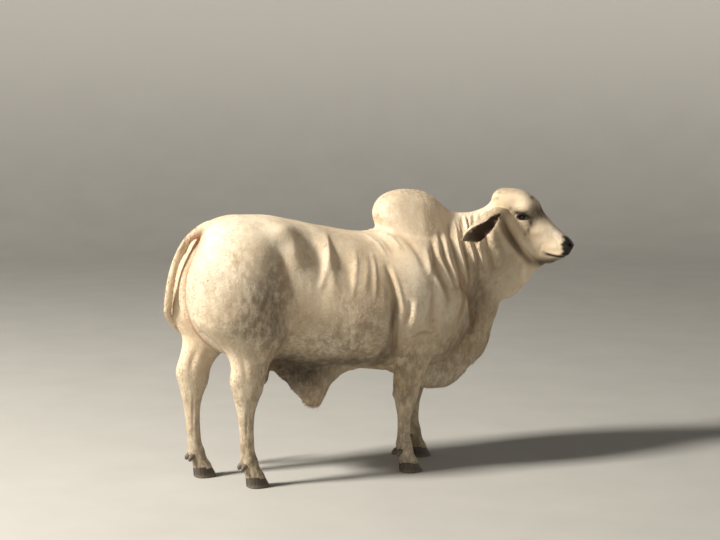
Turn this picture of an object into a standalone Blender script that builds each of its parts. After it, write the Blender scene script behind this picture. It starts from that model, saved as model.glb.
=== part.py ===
"""A life-size model of a standing Brahman bull, in metres.

+X is the way the bull faces, +Y is its left side and +Z is up. The body is modelled straight,
as lofts along a side profile, fused into one skin, given its muscles, folds and face, and then
the neck is turned to the right. Last of all it is parted with thin cuts into its nodes.
In a profile, s is the distance forward along the middle of the body and z the height.
"""

import math

import bmesh
import bpy
import numpy as np
from mathutils import Matrix, Vector

# Driving sizes
GAP = 0.0003
NECK_TURN = math.radians(-35.0)
TURN_START = 0.42
TURN_END = 0.88
HOCK_STANCE = {"left": -0.095, "right": 0.08}
KNEE_STANCE = {"left": 0.17, "right": -0.07}

# Fineness of the fused skin
VOXEL = 0.010
SMOOTH_STEPS = 6
HEAD_VOXEL = 0.0045
HEAD_SMOOTH_STEPS = 16
BODY_TRIANGLES = 4580
HEAD_TRIANGLES = 1800

# Places on the straight head, of the left side
EYE_PLACE = Vector((0.944, 0.085, 1.441))
EYE_OUT = Vector((0.22, 0.96, 0.10)).normalized()
EYE_RADIUS = 0.0205
LID_THICKNESS = 0.0035
LID_OPENING = (0.0190, 0.0125)
NOSTRIL_PLACE = Vector((1.217, 0.047, 1.287))
MOUTH_LINE = ((1.235, 1.228), (1.205, 1.211), (1.155, 1.212), (1.105, 1.222), (1.066, 1.238))
MOUTH_WIDTH = 0.0035

# Brings the middle of the whole model's box over the origin
TO_MIDDLE = Vector((0.0165, -0.0030, 0.0))

# Feet
CORONET_HEIGHT = 0.058
CLAW_GAP = 0.0030

# One row for each section of the trunk:
# s, top, bottom, half width, height of the widest place, roundness above, roundness below
TRUNK = (
    (-1.122, 1.150, 0.985, 0.060, 1.070, 2.0, 2.0),
    (-1.106, 1.215, 0.930, 0.118, 1.075, 2.0, 2.0),
    (-1.080, 1.272, 0.880, 0.168, 1.080, 2.0, 2.0),
    (-1.040, 1.345, 0.830, 0.215, 1.085, 2.1, 2.0),
    (-0.990, 1.422, 0.780, 0.268, 1.090, 2.2, 2.0),
    (-0.920, 1.470, 0.730, 0.310, 1.08, 2.4, 2.0),
    (-0.800, 1.491, 0.700, 0.325, 1.10, 2.6, 2.0),
    (-0.650, 1.486, 0.675, 0.310, 1.12, 2.6, 2.0),
    (-0.500, 1.460, 0.650, 0.318, 1.08, 2.4, 2.1),
    (-0.350, 1.427, 0.630, 0.345, 1.02, 2.2, 2.2),
    (-0.200, 1.396, 0.607, 0.368, 0.98, 2.1, 2.3),
    (-0.050, 1.374, 0.587, 0.372, 0.96, 2.0, 2.3),
    (0.100, 1.400, 0.567, 0.355, 0.98, 2.0, 2.3),
    (0.250, 1.425, 0.567, 0.338, 1.00, 1.9, 2.2),
    (0.400, 1.415, 0.590, 0.308, 1.00, 1.9, 2.2),
    (0.520, 1.350, 0.650, 0.255, 1.00, 1.9, 2.1),
    (0.610, 1.230, 0.760, 0.185, 0.99, 2.0, 2.0),
    (0.650, 1.100, 0.880, 0.100, 0.99, 2.0, 2.0),
)

# One row for each slanted section: top s, top z, bottom s, bottom z, half width,
# share of the way up where it is widest, roundness above, roundness below
NECK = (
    (0.300, 1.400, 0.400, 0.700, 0.285, 0.45, 1.7, 2.0),
    (0.430, 1.455, 0.540, 0.830, 0.245, 0.45, 1.6, 2.0),
    (0.530, 1.459, 0.650, 0.950, 0.205, 0.46, 1.6, 2.0),
    (0.630, 1.464, 0.755, 1.035, 0.172, 0.48, 1.7, 2.0),
    (0.710, 1.490, 0.840, 1.085, 0.143, 0.50, 1.8, 2.0),
    (0.770, 1.535, 0.905, 1.125, 0.115, 0.52, 2.0, 2.0),
    (0.810, 1.560, 0.950, 1.170, 0.090, 0.54, 2.0, 2.0),
    (0.850, 1.560, 0.985, 1.205, 0.062, 0.54, 2.0, 2.0),
)
HUMP = (
    (0.026, 1.470, 0.034, 1.440, 0.030, 0.5, 2.0, 2.0),
    (0.034, 1.512, 0.052, 1.400, 0.072, 0.4, 2.0, 2.0),
    (0.062, 1.562, 0.080, 1.340, 0.112, 0.3, 2.0, 2.0),
    (0.124, 1.597, 0.128, 1.260, 0.155, 0.2, 1.9, 2.0),
    (0.208, 1.610, 0.205, 1.180, 0.200, 0.1, 1.7, 2.0),
    (0.300, 1.602, 0.280, 1.120, 0.222, 0.1, 1.6, 2.0),
    (0.385, 1.570, 0.350, 1.080, 0.222, 0.1, 1.5, 2.0),
    (0.452, 1.518, 0.420, 1.060, 0.205, 0.1, 1.45, 2.0),
    (0.520, 1.472, 0.500, 1.060, 0.165, 0.1, 1.45, 2.0),
    (0.590, 1.458, 0.570, 1.100, 0.105, 0.1, 1.5, 2.0),
    (0.650, 1.455, 0.640, 1.200, 0.040, 0.1, 1.6, 2.0),
)
HEAD = (
    (0.752, 1.520, 0.785, 1.440, 0.078, 0.50, 2.0, 2.0),
    (0.780, 1.580, 0.800, 1.430, 0.094, 0.50, 2.2, 2.1),
    (0.840, 1.602, 0.825, 1.415, 0.107, 0.50, 2.4, 2.3),
    (0.925, 1.594, 0.855, 1.390, 0.115, 0.55, 2.5, 2.5),
    (0.990, 1.562, 0.890, 1.345, 0.114, 0.60, 2.6, 2.6),
    (1.032, 1.507, 0.925, 1.293, 0.102, 0.60, 2.7, 2.6),
    (1.066, 1.457, 0.957, 1.247, 0.090, 0.56, 2.6, 2.5),
    (1.112, 1.404, 0.992, 1.200, 0.081, 0.54, 2.5, 2.3),
    (1.157, 1.360, 1.035, 1.172, 0.077, 0.52, 2.5, 2.2),
    (1.198, 1.327, 1.090, 1.168, 0.078, 0.52, 2.5, 2.2),
    (1.228, 1.300, 1.150, 1.186, 0.074, 0.52, 2.4, 2.2),
    (1.243, 1.275, 1.208, 1.215, 0.056, 0.52, 2.2, 2.0),
)
DEWLAP = (
    (1.075, 1.215, 1.076, 1.160, 0.012, 0.6, 2.0, 1.6),
    (1.020, 1.235, 1.028, 1.120, 0.022, 0.6, 2.0, 1.6),
    (0.990, 1.255, 1.000, 1.086, 0.029, 0.6, 2.0, 1.6),
    (0.950, 1.275, 0.974, 1.046, 0.035, 0.6, 2.0, 1.6),
    (0.900, 1.285, 0.935, 1.004, 0.040, 0.6, 2.0, 1.6),
    (0.850, 1.275, 0.880, 0.962, 0.045, 0.6, 2.0, 1.6),
    (0.790, 1.220, 0.828, 0.940, 0.050, 0.6, 2.0, 1.6),
    (0.715, 1.080, 0.800, 0.860, 0.058, 0.6, 2.0, 1.6),
    (0.640, 0.950, 0.770, 0.767, 0.066, 0.6, 2.0, 1.6),
    (0.575, 0.850, 0.754, 0.690, 0.072, 0.6, 2.0, 1.6),
    (0.520, 0.780, 0.714, 0.620, 0.077, 0.6, 2.0, 1.6),
    (0.470, 0.730, 0.642, 0.552, 0.082, 0.6, 2.0, 1.6),
    (0.420, 0.700, 0.570, 0.474, 0.086, 0.6, 2.0, 1.6),
    (0.370, 0.680, 0.472, 0.430, 0.088, 0.6, 2.0, 1.6),
    (0.310, 0.660, 0.370, 0.432, 0.086, 0.6, 2.0, 1.7),
    (0.240, 0.660, 0.270, 0.478, 0.079, 0.6, 2.0, 1.8),
    (0.150, 0.660, 0.160, 0.530, 0.068, 0.6, 2.0, 1.9),
    (0.060, 0.660, 0.060, 0.580, 0.050, 0.6, 2.0, 2.0),
)
SHEATH = (
    (-0.640, 0.740, -0.650, 0.640, 0.020, 0.5, 2.0, 1.8),
    (-0.560, 0.720, -0.590, 0.585, 0.028, 0.5, 2.0, 1.8),
    (-0.490, 0.710, -0.520, 0.518, 0.034, 0.45, 2.0, 1.9),
    (-0.430, 0.700, -0.455, 0.455, 0.040, 0.4, 2.0, 2.0),
    (-0.370, 0.690, -0.385, 0.385, 0.044, 0.3, 2.0, 2.0),
    (-0.325, 0.680, -0.330, 0.372, 0.042, 0.3, 2.0, 2.0),
    (-0.285, 0.680, -0.285, 0.428, 0.038, 0.4, 2.0, 1.9),
    (-0.230, 0.670, -0.225, 0.512, 0.034, 0.5, 2.0, 1.8),
    (-0.160, 0.660, -0.150, 0.562, 0.030, 0.5, 2.0, 1.8),
    (-0.090, 0.660, -0.080, 0.576, 0.026, 0.5, 2.0, 1.8),
    (-0.010, 0.660, 0.000, 0.590, 0.018, 0.5, 2.0, 1.8),
)

# One row for each level section of a leg: z, middle s, half length, half width, middle y
HIND_LEG = (
    (1.330, -0.810, 0.150, 0.070, 0.140),
    (1.260, -0.825, 0.230, 0.112, 0.155),
    (1.180, -0.832, 0.282, 0.142, 0.166),
    (1.090, -0.837, 0.286, 0.158, 0.172),
    (1.000, -0.838, 0.285, 0.162, 0.177),
    (0.925, -0.836, 0.280, 0.157, 0.181),
    (0.860, -0.834, 0.246, 0.142, 0.184),
    (0.805, -0.838, 0.192, 0.120, 0.187),
    (0.745, -0.858, 0.145, 0.096, 0.190),
    (0.675, -0.886, 0.114, 0.076, 0.193),
    (0.610, -0.905, 0.103, 0.064, 0.195),
    (0.550, -0.908, 0.090, 0.060, 0.195),
    (0.480, -0.915, 0.070, 0.054, 0.193),
    (0.400, -0.918, 0.051, 0.044, 0.192),
    (0.300, -0.914, 0.043, 0.038, 0.190),
    (0.210, -0.908, 0.043, 0.037, 0.188),
    (0.150, -0.899, 0.054, 0.048, 0.187),
    (0.105, -0.882, 0.049, 0.048, 0.186),
    (0.075, -0.867, 0.053, 0.053, 0.185),
    (0.050, -0.860, 0.056, 0.056, 0.185),
    (0.020, -0.850, 0.058, 0.058, 0.185),
)
FORE_LEG = (
    (1.200, 0.240, 0.110, 0.050, 0.190),
    (1.100, 0.245, 0.170, 0.090, 0.200),
    (0.950, 0.245, 0.182, 0.106, 0.210),
    (0.850, 0.243, 0.165, 0.099, 0.212),
    (0.760, 0.240, 0.140, 0.086, 0.209),
    (0.670, 0.236, 0.121, 0.077, 0.205),
    (0.590, 0.225, 0.105, 0.069, 0.200),
    (0.500, 0.212, 0.086, 0.061, 0.194),
    (0.430, 0.206, 0.067, 0.060, 0.191),
    (0.380, 0.203, 0.057, 0.052, 0.190),
    (0.320, 0.199, 0.043, 0.040, 0.188),
    (0.230, 0.196, 0.040, 0.036, 0.187),
    (0.155, 0.199, 0.052, 0.047, 0.186),
    (0.110, 0.210, 0.049, 0.048, 0.186),
    (0.075, 0.222, 0.053, 0.053, 0.185),
    (0.050, 0.230, 0.056, 0.056, 0.185),
    (0.020, 0.240, 0.058, 0.058, 0.185),
)

# The ear from its root to its tip, on the left of the straight head: s, y, z
EAR_LINE = (
    (0.838, 0.070, 1.480),
    (0.804, 0.111, 1.477),
    (0.762, 0.153, 1.452),
    (0.718, 0.193, 1.409),
    (0.672, 0.232, 1.363),
    (0.624, 0.264, 1.318),
)
# Share of the way: width round the ear, angles of its upper and lower rim, thickness
EAR_SHAPE = (
    (0.00, 0.105, -150.0, 75.0, 0.0120),
    (0.18, 0.140, -140.0, 72.0, 0.0095),
    (0.40, 0.185, -132.0, 75.0, 0.0075),
    (0.62, 0.212, -125.0, 79.0, 0.0065),
    (0.80, 0.176, -98.0, 78.0, 0.0060),
    (0.92, 0.092, -76.0, 55.0, 0.0055),
    (1.00, 0.016, -55.0, 25.0, 0.0045),
)
EAR_BACK = Vector((-0.10, -0.86, 0.50))

# The tail from its root: x, y, z, radius
TAIL = (
    (-0.900, 0.000, 1.430, 0.045),
    (-0.985, 0.000, 1.428, 0.038),
    (-1.062, 0.012, 1.390, 0.033),
    (-1.122, 0.032, 1.312, 0.031),
    (-1.163, 0.064, 1.204, 0.027),
    (-1.176, 0.106, 1.083, 0.022),
    (-1.171, 0.158, 0.970, 0.019),
    (-1.102, 0.266, 0.865, 0.018),
    (-1.012, 0.330, 0.780, 0.017),
    (-0.977, 0.348, 0.690, 0.016),
    (-0.967, 0.352, 0.600, 0.015),
)

# Joints between the nodes
TAIL_JOINT = 0.16
SWITCH_JOINT = 0.90
HEAD_JOINT = ((0.735, 1.560), (0.868, 1.190))
NECK_JOINT = ((0.505, 1.480), (0.665, 0.930))
HUMP_OUTLINE = (
    (-0.10, 1.470),
    (-0.02, 1.430),
    (0.03, 1.408),
    (0.20, 1.385),
    (0.38, 1.385),
    (0.47, 1.420),
    (0.535, 1.520),
    (0.535, 1.750),
    (-0.10, 1.750),
)
HIND_OUTLINE = ((-1.50, -0.20), (-0.570, -0.20), (-0.570, 0.640), (-0.610, 0.810), (-1.50, 1.010))
FORE_OUTLINE = ((-0.010, -0.20), (0.60, -0.20), (0.60, 0.900), (0.47, 0.880), (0.020, 0.800))
SCROTUM_OUTLINE = ((-0.80, 0.40), (-0.60, 0.40), (-0.60, 0.700), (-0.80, 0.725))
# Stations along the roof over a hanging fold: s, ridge, half width, fall, base
DEWLAP_ROOF = (
    (1.120, 1.150, 0.080, 0.050, 0.90),
    (1.075, 1.172, 0.080, 0.050, 0.85),
    (1.030, 1.190, 0.085, 0.060, 0.80),
    (0.980, 1.170, 0.090, 0.090, 0.70),
    (0.920, 1.120, 0.095, 0.110, 0.60),
    (0.850, 1.060, 0.098, 0.130, 0.45),
    (0.780, 1.000, 0.098, 0.150, 0.35),
    (0.700, 0.930, 0.098, 0.170, 0.30),
    (0.620, 0.850, 0.098, 0.170, 0.30),
    (0.520, 0.750, 0.098, 0.150, 0.30),
    (0.400, 0.670, 0.098, 0.120, 0.30),
    (0.280, 0.620, 0.098, 0.090, 0.30),
    (0.160, 0.595, 0.098, 0.070, 0.30),
    (0.060, 0.580, 0.098, 0.060, 0.30),
)
SHEATH_ROOF = (
    (-0.050, 0.590, 0.080, 0.050, 0.20),
    (-0.150, 0.610, 0.080, 0.070, 0.20),
    (-0.300, 0.635, 0.080, 0.080, 0.20),
    (-0.450, 0.655, 0.080, 0.080, 0.20),
    (-0.580, 0.668, 0.080, 0.070, 0.20),
)

# Muscles, bones and hollows on both sides: middle s, y, z, reach along s, y, z, rise
SHAPES = (
    (-0.495, 0.300, 1.310, 0.075, 0.20, 0.100, -0.036),  # hollow of the flank
    (-0.335, 0.330, 1.245, 0.040, 0.20, 0.075, -0.016),  # hollow before the last rib
    (-0.400, 0.330, 1.260, 0.026, 0.20, 0.130, 0.014),  # last rib
    (-0.640, 0.250, 1.415, 0.065, 0.10, 0.050, 0.026),  # hook bone
    (-1.010, 0.130, 1.340, 0.055, 0.07, 0.055, 0.012),  # pin bone
    (-1.130, 0.160, 1.060, 0.090, 0.10, 0.150, 0.016),  # buttock
    (-0.900, 0.300, 1.080, 0.140, 0.20, 0.180, 0.022),  # thigh
    (-0.670, 0.310, 1.080, 0.075, 0.18, 0.220, -0.026),  # hollow before the thigh
    (-0.660, 0.290, 0.830, 0.070, 0.10, 0.080, 0.016),  # stifle
    (0.160, 0.320, 1.180, 0.110, 0.20, 0.180, 0.020),  # shoulder blade
    (0.100, 0.330, 0.930, 0.070, 0.20, 0.090, 0.024),  # upper arm
    (0.440, 0.270, 0.980, 0.070, 0.12, 0.090, 0.022),  # point of the shoulder
    (0.300, 0.300, 1.080, 0.050, 0.20, 0.120, -0.012),  # hollow behind the point of the shoulder
    (-0.025, 0.370, 0.970, 0.032, 0.20, 0.190, -0.024),  # groove behind the arm
    (-1.120, 0.000, 1.080, 0.080, 0.020, 0.220, -0.036),  # cleft between the buttocks
    (0.965, 0.100, 1.492, 0.045, 0.05, 0.030, 0.012),  # brow
    (0.915, 0.105, 1.530, 0.035, 0.06, 0.040, -0.006),  # temple
    (0.925, 0.105, 1.320, 0.055, 0.06, 0.065, 0.012),  # cheek
    (1.020, 0.085, 1.350, 0.060, 0.05, 0.022, 0.006),  # crest of the face
    (1.015, 0.085, 1.425, 0.035, 0.05, 0.030, -0.007),  # hollow before the eye
    (1.190, 0.060, 1.300, 0.030, 0.04, 0.030, 0.006),  # side of the nose
    (1.160, 0.060, 1.220, 0.040, 0.04, 0.018, 0.006),  # upper lip
    (1.085, 0.030, 1.180, 0.030, 0.03, 0.020, 0.004),  # chin
    (0.990, 0.000, 1.200, 0.070, 0.03, 0.040, -0.010),  # between the jaws
)


def steady_curve(knots, values, at):
    """Smooth curve through the values that never overshoots them, read at the places in at."""
    knots, values = np.asarray(knots, float), np.asarray(values, float)
    step = np.diff(knots)
    slope = np.diff(values) / step
    tangent = np.zeros(len(knots))
    rising = slope[:-1] * slope[1:] > 0
    weight_a, weight_b = 2 * step[1:] + step[:-1], step[1:] + 2 * step[:-1]
    inner = np.zeros(len(slope) - 1)
    inner[rising] = (weight_a + weight_b)[rising] / (
        weight_a[rising] / slope[:-1][rising] + weight_b[rising] / slope[1:][rising]
    )
    tangent[1:-1] = inner
    tangent[0], tangent[-1] = slope[0], slope[-1]
    i = np.clip(np.searchsorted(knots, at) - 1, 0, len(step) - 1)
    t = (at - knots[i]) / step[i]
    return (
        values[i] * (2 * t**3 - 3 * t**2 + 1)
        + tangent[i] * step[i] * (t**3 - 2 * t**2 + t)
        + values[i + 1] * (-2 * t**3 + 3 * t**2)
        + tangent[i + 1] * step[i] * (t**3 - t**2)
    )


def fill_rows(rows, count):
    """The rows of a section table, made count rows by smooth curves."""
    rows = np.asarray(rows, float)
    knots = np.arange(len(rows), dtype=float)
    at = np.linspace(0, len(rows) - 1, count)
    return np.stack([steady_curve(knots, column, at) for column in rows.T], axis=1)


def loft(name, rings):
    """A closed mesh object through rings of points, with a fan at each end."""
    count, around = rings.shape[:2]
    ends = [rings[0].mean(axis=0), rings[-1].mean(axis=0)]
    points = np.concatenate([rings.reshape(-1, 3), ends])
    faces = []
    for i in range(count - 1):
        for j in range(around):
            k = (j + 1) % around
            faces.append((i * around + j, i * around + k, (i + 1) * around + k, (i + 1) * around + j))
    first, last = count * around, count * around + 1
    for j in range(around):
        k = (j + 1) % around
        faces.append((first, k, j))
        faces.append((last, (count - 1) * around + j, (count - 1) * around + k))
    mesh = bpy.data.meshes.new(name)
    mesh.from_pydata(points.tolist(), [], faces)
    shape = bmesh.new()
    shape.from_mesh(mesh)
    bmesh.ops.recalc_face_normals(shape, faces=shape.faces)
    shape.to_mesh(mesh)
    shape.free()
    obj = bpy.data.objects.new(name, mesh)
    bpy.context.scene.collection.objects.link(obj)
    return obj


def rounded(angle, power):
    """Cosine and sine of a rounded square: power 2 is an ellipse and more is squarer."""
    c, s = np.cos(angle), np.sin(angle)
    return np.sign(c) * np.abs(c) ** (2 / power), np.sign(s) * np.abs(s) ** (2 / power)


def trunk_loft(name, rows, count, around=48):
    """A loft of upright sections."""
    angle = np.linspace(0, 2 * math.pi, around, endpoint=False)
    rings = []
    for s, top, bottom, half, widest, above, below in fill_rows(rows, count):
        across_a, up_a = rounded(angle, above)
        across_b, up_b = rounded(angle, below)
        upper = angle < math.pi
        across = np.where(upper, across_a, across_b) * half
        height = widest + np.where(upper, up_a * (top - widest), up_b * (widest - bottom))
        rings.append(np.stack([np.full(around, s), across, height], axis=1))
    return loft(name, np.array(rings))


def slanted_loft(name, rows, count, around=40):
    """A loft of sections that each run from a top point to a bottom point of the profile."""
    angle = np.linspace(0, 2 * math.pi, around, endpoint=False)
    rings = []
    for top_s, top_z, low_s, low_z, half, share, above, below in fill_rows(rows, count):
        across_a, up_a = rounded(angle, above)
        across_b, up_b = rounded(angle, below)
        upper = angle < math.pi
        across = np.where(upper, across_a, across_b) * half
        up = share + np.where(upper, up_a * (1 - share), up_b * share)
        rings.append(
            np.stack([low_s + (top_s - low_s) * up, across, low_z + (top_z - low_z) * up], axis=1)
        )
    return loft(name, np.array(rings))


def ease(value):
    """0 to 1, with a level start and end."""
    value = np.clip(value, 0.0, 1.0)
    return value * value * (3 - 2 * value)


def leg_loft(name, rows, side, stance, free_from, fixed_at, count=60, around=32):
    """A loft of level sections down a leg. Below free_from the leg has moved by its stance."""
    angle = np.linspace(0, 2 * math.pi, around, endpoint=False)
    sign = 1 if side == "left" else -1
    rings = []
    for z, s, length, width, y in fill_rows(rows, count):
        moved = stance * ease((fixed_at - z) / (fixed_at - free_from))
        rings.append(
            np.stack(
                [
                    s + moved + length * np.cos(angle),
                    sign * y + width * np.sin(angle),
                    np.full(around, z),
                ],
                axis=1,
            )
        )
    return loft(name, np.array(rings))


def scrotum_loft(name):
    """A hanging pear between the thighs."""
    rows = (
        (0.800, 0.045, 0.050),
        (0.740, 0.052, 0.056),
        (0.680, 0.066, 0.070),
        (0.620, 0.076, 0.082),
        (0.570, 0.074, 0.080),
        (0.535, 0.054, 0.060),
        (0.522, 0.020, 0.024),
    )
    angle = np.linspace(0, 2 * math.pi, 32, endpoint=False)
    rings = [
        np.stack([-0.70 + a * np.cos(angle), b * np.sin(angle), np.full(32, z)], axis=1)
        for z, a, b in fill_rows(rows, 30)
    ]
    return loft(name, np.array(rings))


def applied(obj):
    """The object with its modifiers applied, as a plain mesh."""
    graph = bpy.context.evaluated_depsgraph_get()
    mesh = bpy.data.meshes.new_from_object(obj.evaluated_get(graph))
    obj.modifiers.clear()
    obj.data = mesh
    return obj


def fused(name, pieces, voxel, smooth_steps):
    """One closed skin round all the pieces."""
    shape = bmesh.new()
    for piece in pieces:
        shape.from_mesh(piece.data)
        bpy.data.objects.remove(piece)
    mesh = bpy.data.meshes.new(name)
    shape.to_mesh(mesh)
    shape.free()
    obj = bpy.data.objects.new(name, mesh)
    bpy.context.scene.collection.objects.link(obj)
    remesh = obj.modifiers.new("Remesh", "REMESH")
    remesh.mode = "VOXEL"
    remesh.voxel_size = voxel
    smooth = obj.modifiers.new("Smooth", "SMOOTH")
    smooth.factor = 0.5
    smooth.iterations = smooth_steps
    return applied(obj)


def points_of(mesh):
    """The mesh's points as an array."""
    points = np.empty(len(mesh.vertices) * 3)
    mesh.vertices.foreach_get("co", points)
    return points.reshape(-1, 3)


def normals_of(mesh):
    """The mesh's point normals as an array."""
    normals = np.empty(len(mesh.vertices) * 3)
    mesh.vertex_normals.foreach_get("vector", normals)
    return normals.reshape(-1, 3)


def set_points(mesh, points):
    """Moves the mesh's points."""
    mesh.vertices.foreach_set("co", points.ravel())
    mesh.update()


def swell(mesh, shapes):
    """Raises or sinks the skin softly round each place, alike on both sides."""
    points, normals = points_of(mesh), normals_of(mesh)
    rise = np.zeros(len(points))
    for s, y, z, reach_s, reach_y, reach_z, height in shapes:
        away = (
            ((points[:, 0] - s) / reach_s) ** 2
            + ((np.abs(points[:, 1]) - y) / reach_y) ** 2
            + ((points[:, 2] - z) / reach_z) ** 2
        )
        rise += height * np.exp(-away)
    set_points(mesh, points + normals * rise[:, None])


def turned(points):
    """The points after the neck and head have turned to the side."""
    span = TURN_END - TURN_START
    table = np.linspace(TURN_START, TURN_END, 400)
    angle = NECK_TURN * ease((table - TURN_START) / span)
    step = table[1] - table[0]
    path_x = TURN_START + np.concatenate([[0], np.cumsum(np.cos((angle[1:] + angle[:-1]) / 2) * step)])
    path_y = np.concatenate([[0], np.cumsum(np.sin((angle[1:] + angle[:-1]) / 2) * step)])
    s = points[:, 0]
    inside = np.clip(s, TURN_START, TURN_END)
    phi = NECK_TURN * ease((s - TURN_START) / span)
    beyond = np.maximum(s - TURN_END, 0)
    before = np.minimum(s - TURN_START, 0)
    x = np.interp(inside, table, path_x) + before + beyond * np.cos(phi)
    y = np.interp(inside, table, path_y) + beyond * np.sin(phi)
    out = points.copy()
    out[:, 0] = x - points[:, 1] * np.sin(phi)
    out[:, 1] = y + points[:, 1] * np.cos(phi)
    return out


def tube(name, stations, around=20, between=8):
    """A closed tube through stations of (x, y, z, radius), smooth between them."""
    rows = fill_rows(stations, between * (len(stations) - 1) + 1)
    centres, radii = rows[:, :3], rows[:, 3]
    ahead = np.gradient(centres, axis=0)
    ahead /= np.linalg.norm(ahead, axis=1)[:, None]
    angle = np.linspace(0, 2 * math.pi, around, endpoint=False)
    side = np.array([0.0, 1.0, 0.0])
    rings = []
    for centre, along, radius in zip(centres, ahead, radii):
        side = side - along * np.dot(side, along)
        side /= np.linalg.norm(side)
        other = np.cross(along, side)
        rings.append(
            centre + radius * (np.outer(np.cos(angle), side) + np.outer(np.sin(angle), other))
        )
    return loft(name, np.array(rings))


def tail_row(share):
    """The place and radius of the tail at a share of its length."""
    rows = np.asarray(TAIL, float)
    at = np.array([share * (len(rows) - 1)])
    knots = np.arange(len(rows), dtype=float)
    return [float(steady_curve(knots, column, at)[0]) for column in rows.T]


def flesh(voxel=VOXEL, smooth_steps=SMOOTH_STEPS):
    """The whole body's skin, straight, without ears and with the tail's root."""
    pieces = [
        trunk_loft("trunk", TRUNK, 90),
        slanted_loft("neck", NECK, 40),
        slanted_loft("hump", HUMP, 50),
        slanted_loft("head", HEAD, 70),
        slanted_loft("dewlap", DEWLAP, 90),
        slanted_loft("sheath", SHEATH, 50),
        scrotum_loft("scrotum"),
        tube("tail_root", [tail_row(share) for share in (0.0, 0.1, 0.2, 0.3)]),
    ]
    for side in ("left", "right"):
        pieces.append(leg_loft("hind_" + side, HIND_LEG, side, HOCK_STANCE[side], 0.62, 0.95))
        pieces.append(leg_loft("fore_" + side, FORE_LEG, side, KNEE_STANCE[side], 0.50, 1.05))
    body = fused("skin", pieces, voxel, smooth_steps)
    swell(body.data, SHAPES)
    return body


def with_side(vector, side):
    """A place or direction of the left side, mirrored for the right."""
    return Vector((vector[0], vector[1] if side == "left" else -vector[1], vector[2]))


def head_matrix():
    """Where the turned neck brings the stiff head."""
    end = turned(np.array([[TURN_END, 0.0, 0.0]]))[0]
    return (
        Matrix.Translation(end)
        @ Matrix.Rotation(NECK_TURN, 4, "Z")
        @ Matrix.Translation((-TURN_END, 0.0, 0.0))
    )


def raise_lids(mesh):
    """Lifts the straight head's skin over each eyeball, to the thickness of the lids."""
    points = points_of(mesh)
    for side in ("left", "right"):
        centre = np.array(with_side(EYE_PLACE, side))
        out = np.array(with_side(EYE_OUT, side))
        away = points - centre
        distance = np.linalg.norm(away, axis=1)
        facing = away @ out / np.maximum(distance, 1e-9)
        lift = np.clip(EYE_RADIUS + LID_THICKNESS - distance, 0.0, None)
        lift = lift * ease((facing - 0.15) / 0.35) * (distance > 0.008)
        points += away / np.maximum(distance, 1e-9)[:, None] * lift[:, None]
    set_points(mesh, points)


def boolean(obj, cutter, operation):
    """Applies a Boolean and removes the cutter."""
    modifier = obj.modifiers.new("Boolean", "BOOLEAN")
    modifier.operation = operation
    modifier.solver = "EXACT"
    modifier.object = cutter
    applied(obj)
    bpy.data.objects.remove(cutter)
    return obj


def duplicate(obj, name):
    """A copy of the object with its own mesh."""
    copy = bpy.data.objects.new(name, obj.data.copy())
    bpy.context.scene.collection.objects.link(copy)
    return copy


def keep_largest(obj):
    """Drops every loose piece but the one with the most volume."""
    shape = bmesh.new()
    shape.from_mesh(obj.data)
    bmesh.ops.triangulate(shape, faces=shape.faces)
    seen, pieces = set(), []
    for start in shape.verts:
        if start.index in seen:
            continue
        seen.add(start.index)
        piece, waiting = [], [start]
        while waiting:
            vert = waiting.pop()
            piece.append(vert)
            for edge in vert.link_edges:
                other = edge.other_vert(vert)
                if other.index not in seen:
                    seen.add(other.index)
                    waiting.append(other)
        pieces.append(piece)

    def volume(piece):
        faces = {face for vert in piece for face in vert.link_faces}
        return sum(
            face.verts[0].co.dot(face.verts[1].co.cross(face.verts[2].co)) for face in faces
        )

    if len(pieces) > 1:
        largest = max(pieces, key=volume)
        kept = {vert.index for vert in largest}
        loose = [vert for vert in shape.verts if vert.index not in kept]
        bmesh.ops.delete(shape, geom=loose, context="VERTS")
    shape.to_mesh(obj.data)
    shape.free()
    return obj


def thinned(obj, count):
    """Brings the mesh down to about this many triangles."""
    triangles = sum(len(face.vertices) - 2 for face in obj.data.polygons)
    modifier = obj.modifiers.new("Decimate", "DECIMATE")
    modifier.ratio = min(1.0, count / triangles)
    return applied(obj)


def fattened(obj, name, by):
    """A copy of the object that is larger by this much all round."""
    copy = duplicate(obj, name)
    set_points(copy.data, points_of(copy.data) + by * normals_of(copy.data))
    return copy


def capped(name, rings):
    """A closed mesh object through rings of points, with one flat face at each end."""
    count, around = rings.shape[:2]
    faces = []
    for i in range(count - 1):
        for j in range(around):
            k = (j + 1) % around
            faces.append((i * around + j, i * around + k, (i + 1) * around + k, (i + 1) * around + j))
    faces.append(tuple(range(around)))
    faces.append(tuple(range(count * around - 1, (count - 1) * around - 1, -1)))
    mesh = bpy.data.meshes.new(name)
    mesh.from_pydata(rings.reshape(-1, 3).tolist(), [], faces)
    shape = bmesh.new()
    shape.from_mesh(mesh)
    bmesh.ops.recalc_face_normals(shape, faces=shape.faces)
    bmesh.ops.triangulate(shape, faces=shape.faces, quad_method="FIXED")
    shape.to_mesh(mesh)
    shape.free()
    obj = bpy.data.objects.new(name, mesh)
    bpy.context.scene.collection.objects.link(obj)
    return obj


def half_space(point, normal, grow, reach=1.4, half=1.4):
    """A large box on the far side of a plane, grown by this much towards the near side."""
    normal = Vector(normal).normalized()
    across = normal.cross(Vector((0.0, 1.0, 0.0))).normalized()
    along = normal.cross(across)
    start = Vector(point) - normal * grow
    rings = []
    for depth in (0.0, reach):
        middle = start + normal * depth
        rings.append(
            [middle + across * a * half + along * b * half for a, b in ((-1, -1), (1, -1), (1, 1), (-1, 1))]
        )
    return capped("half_space", np.array(rings))


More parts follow.
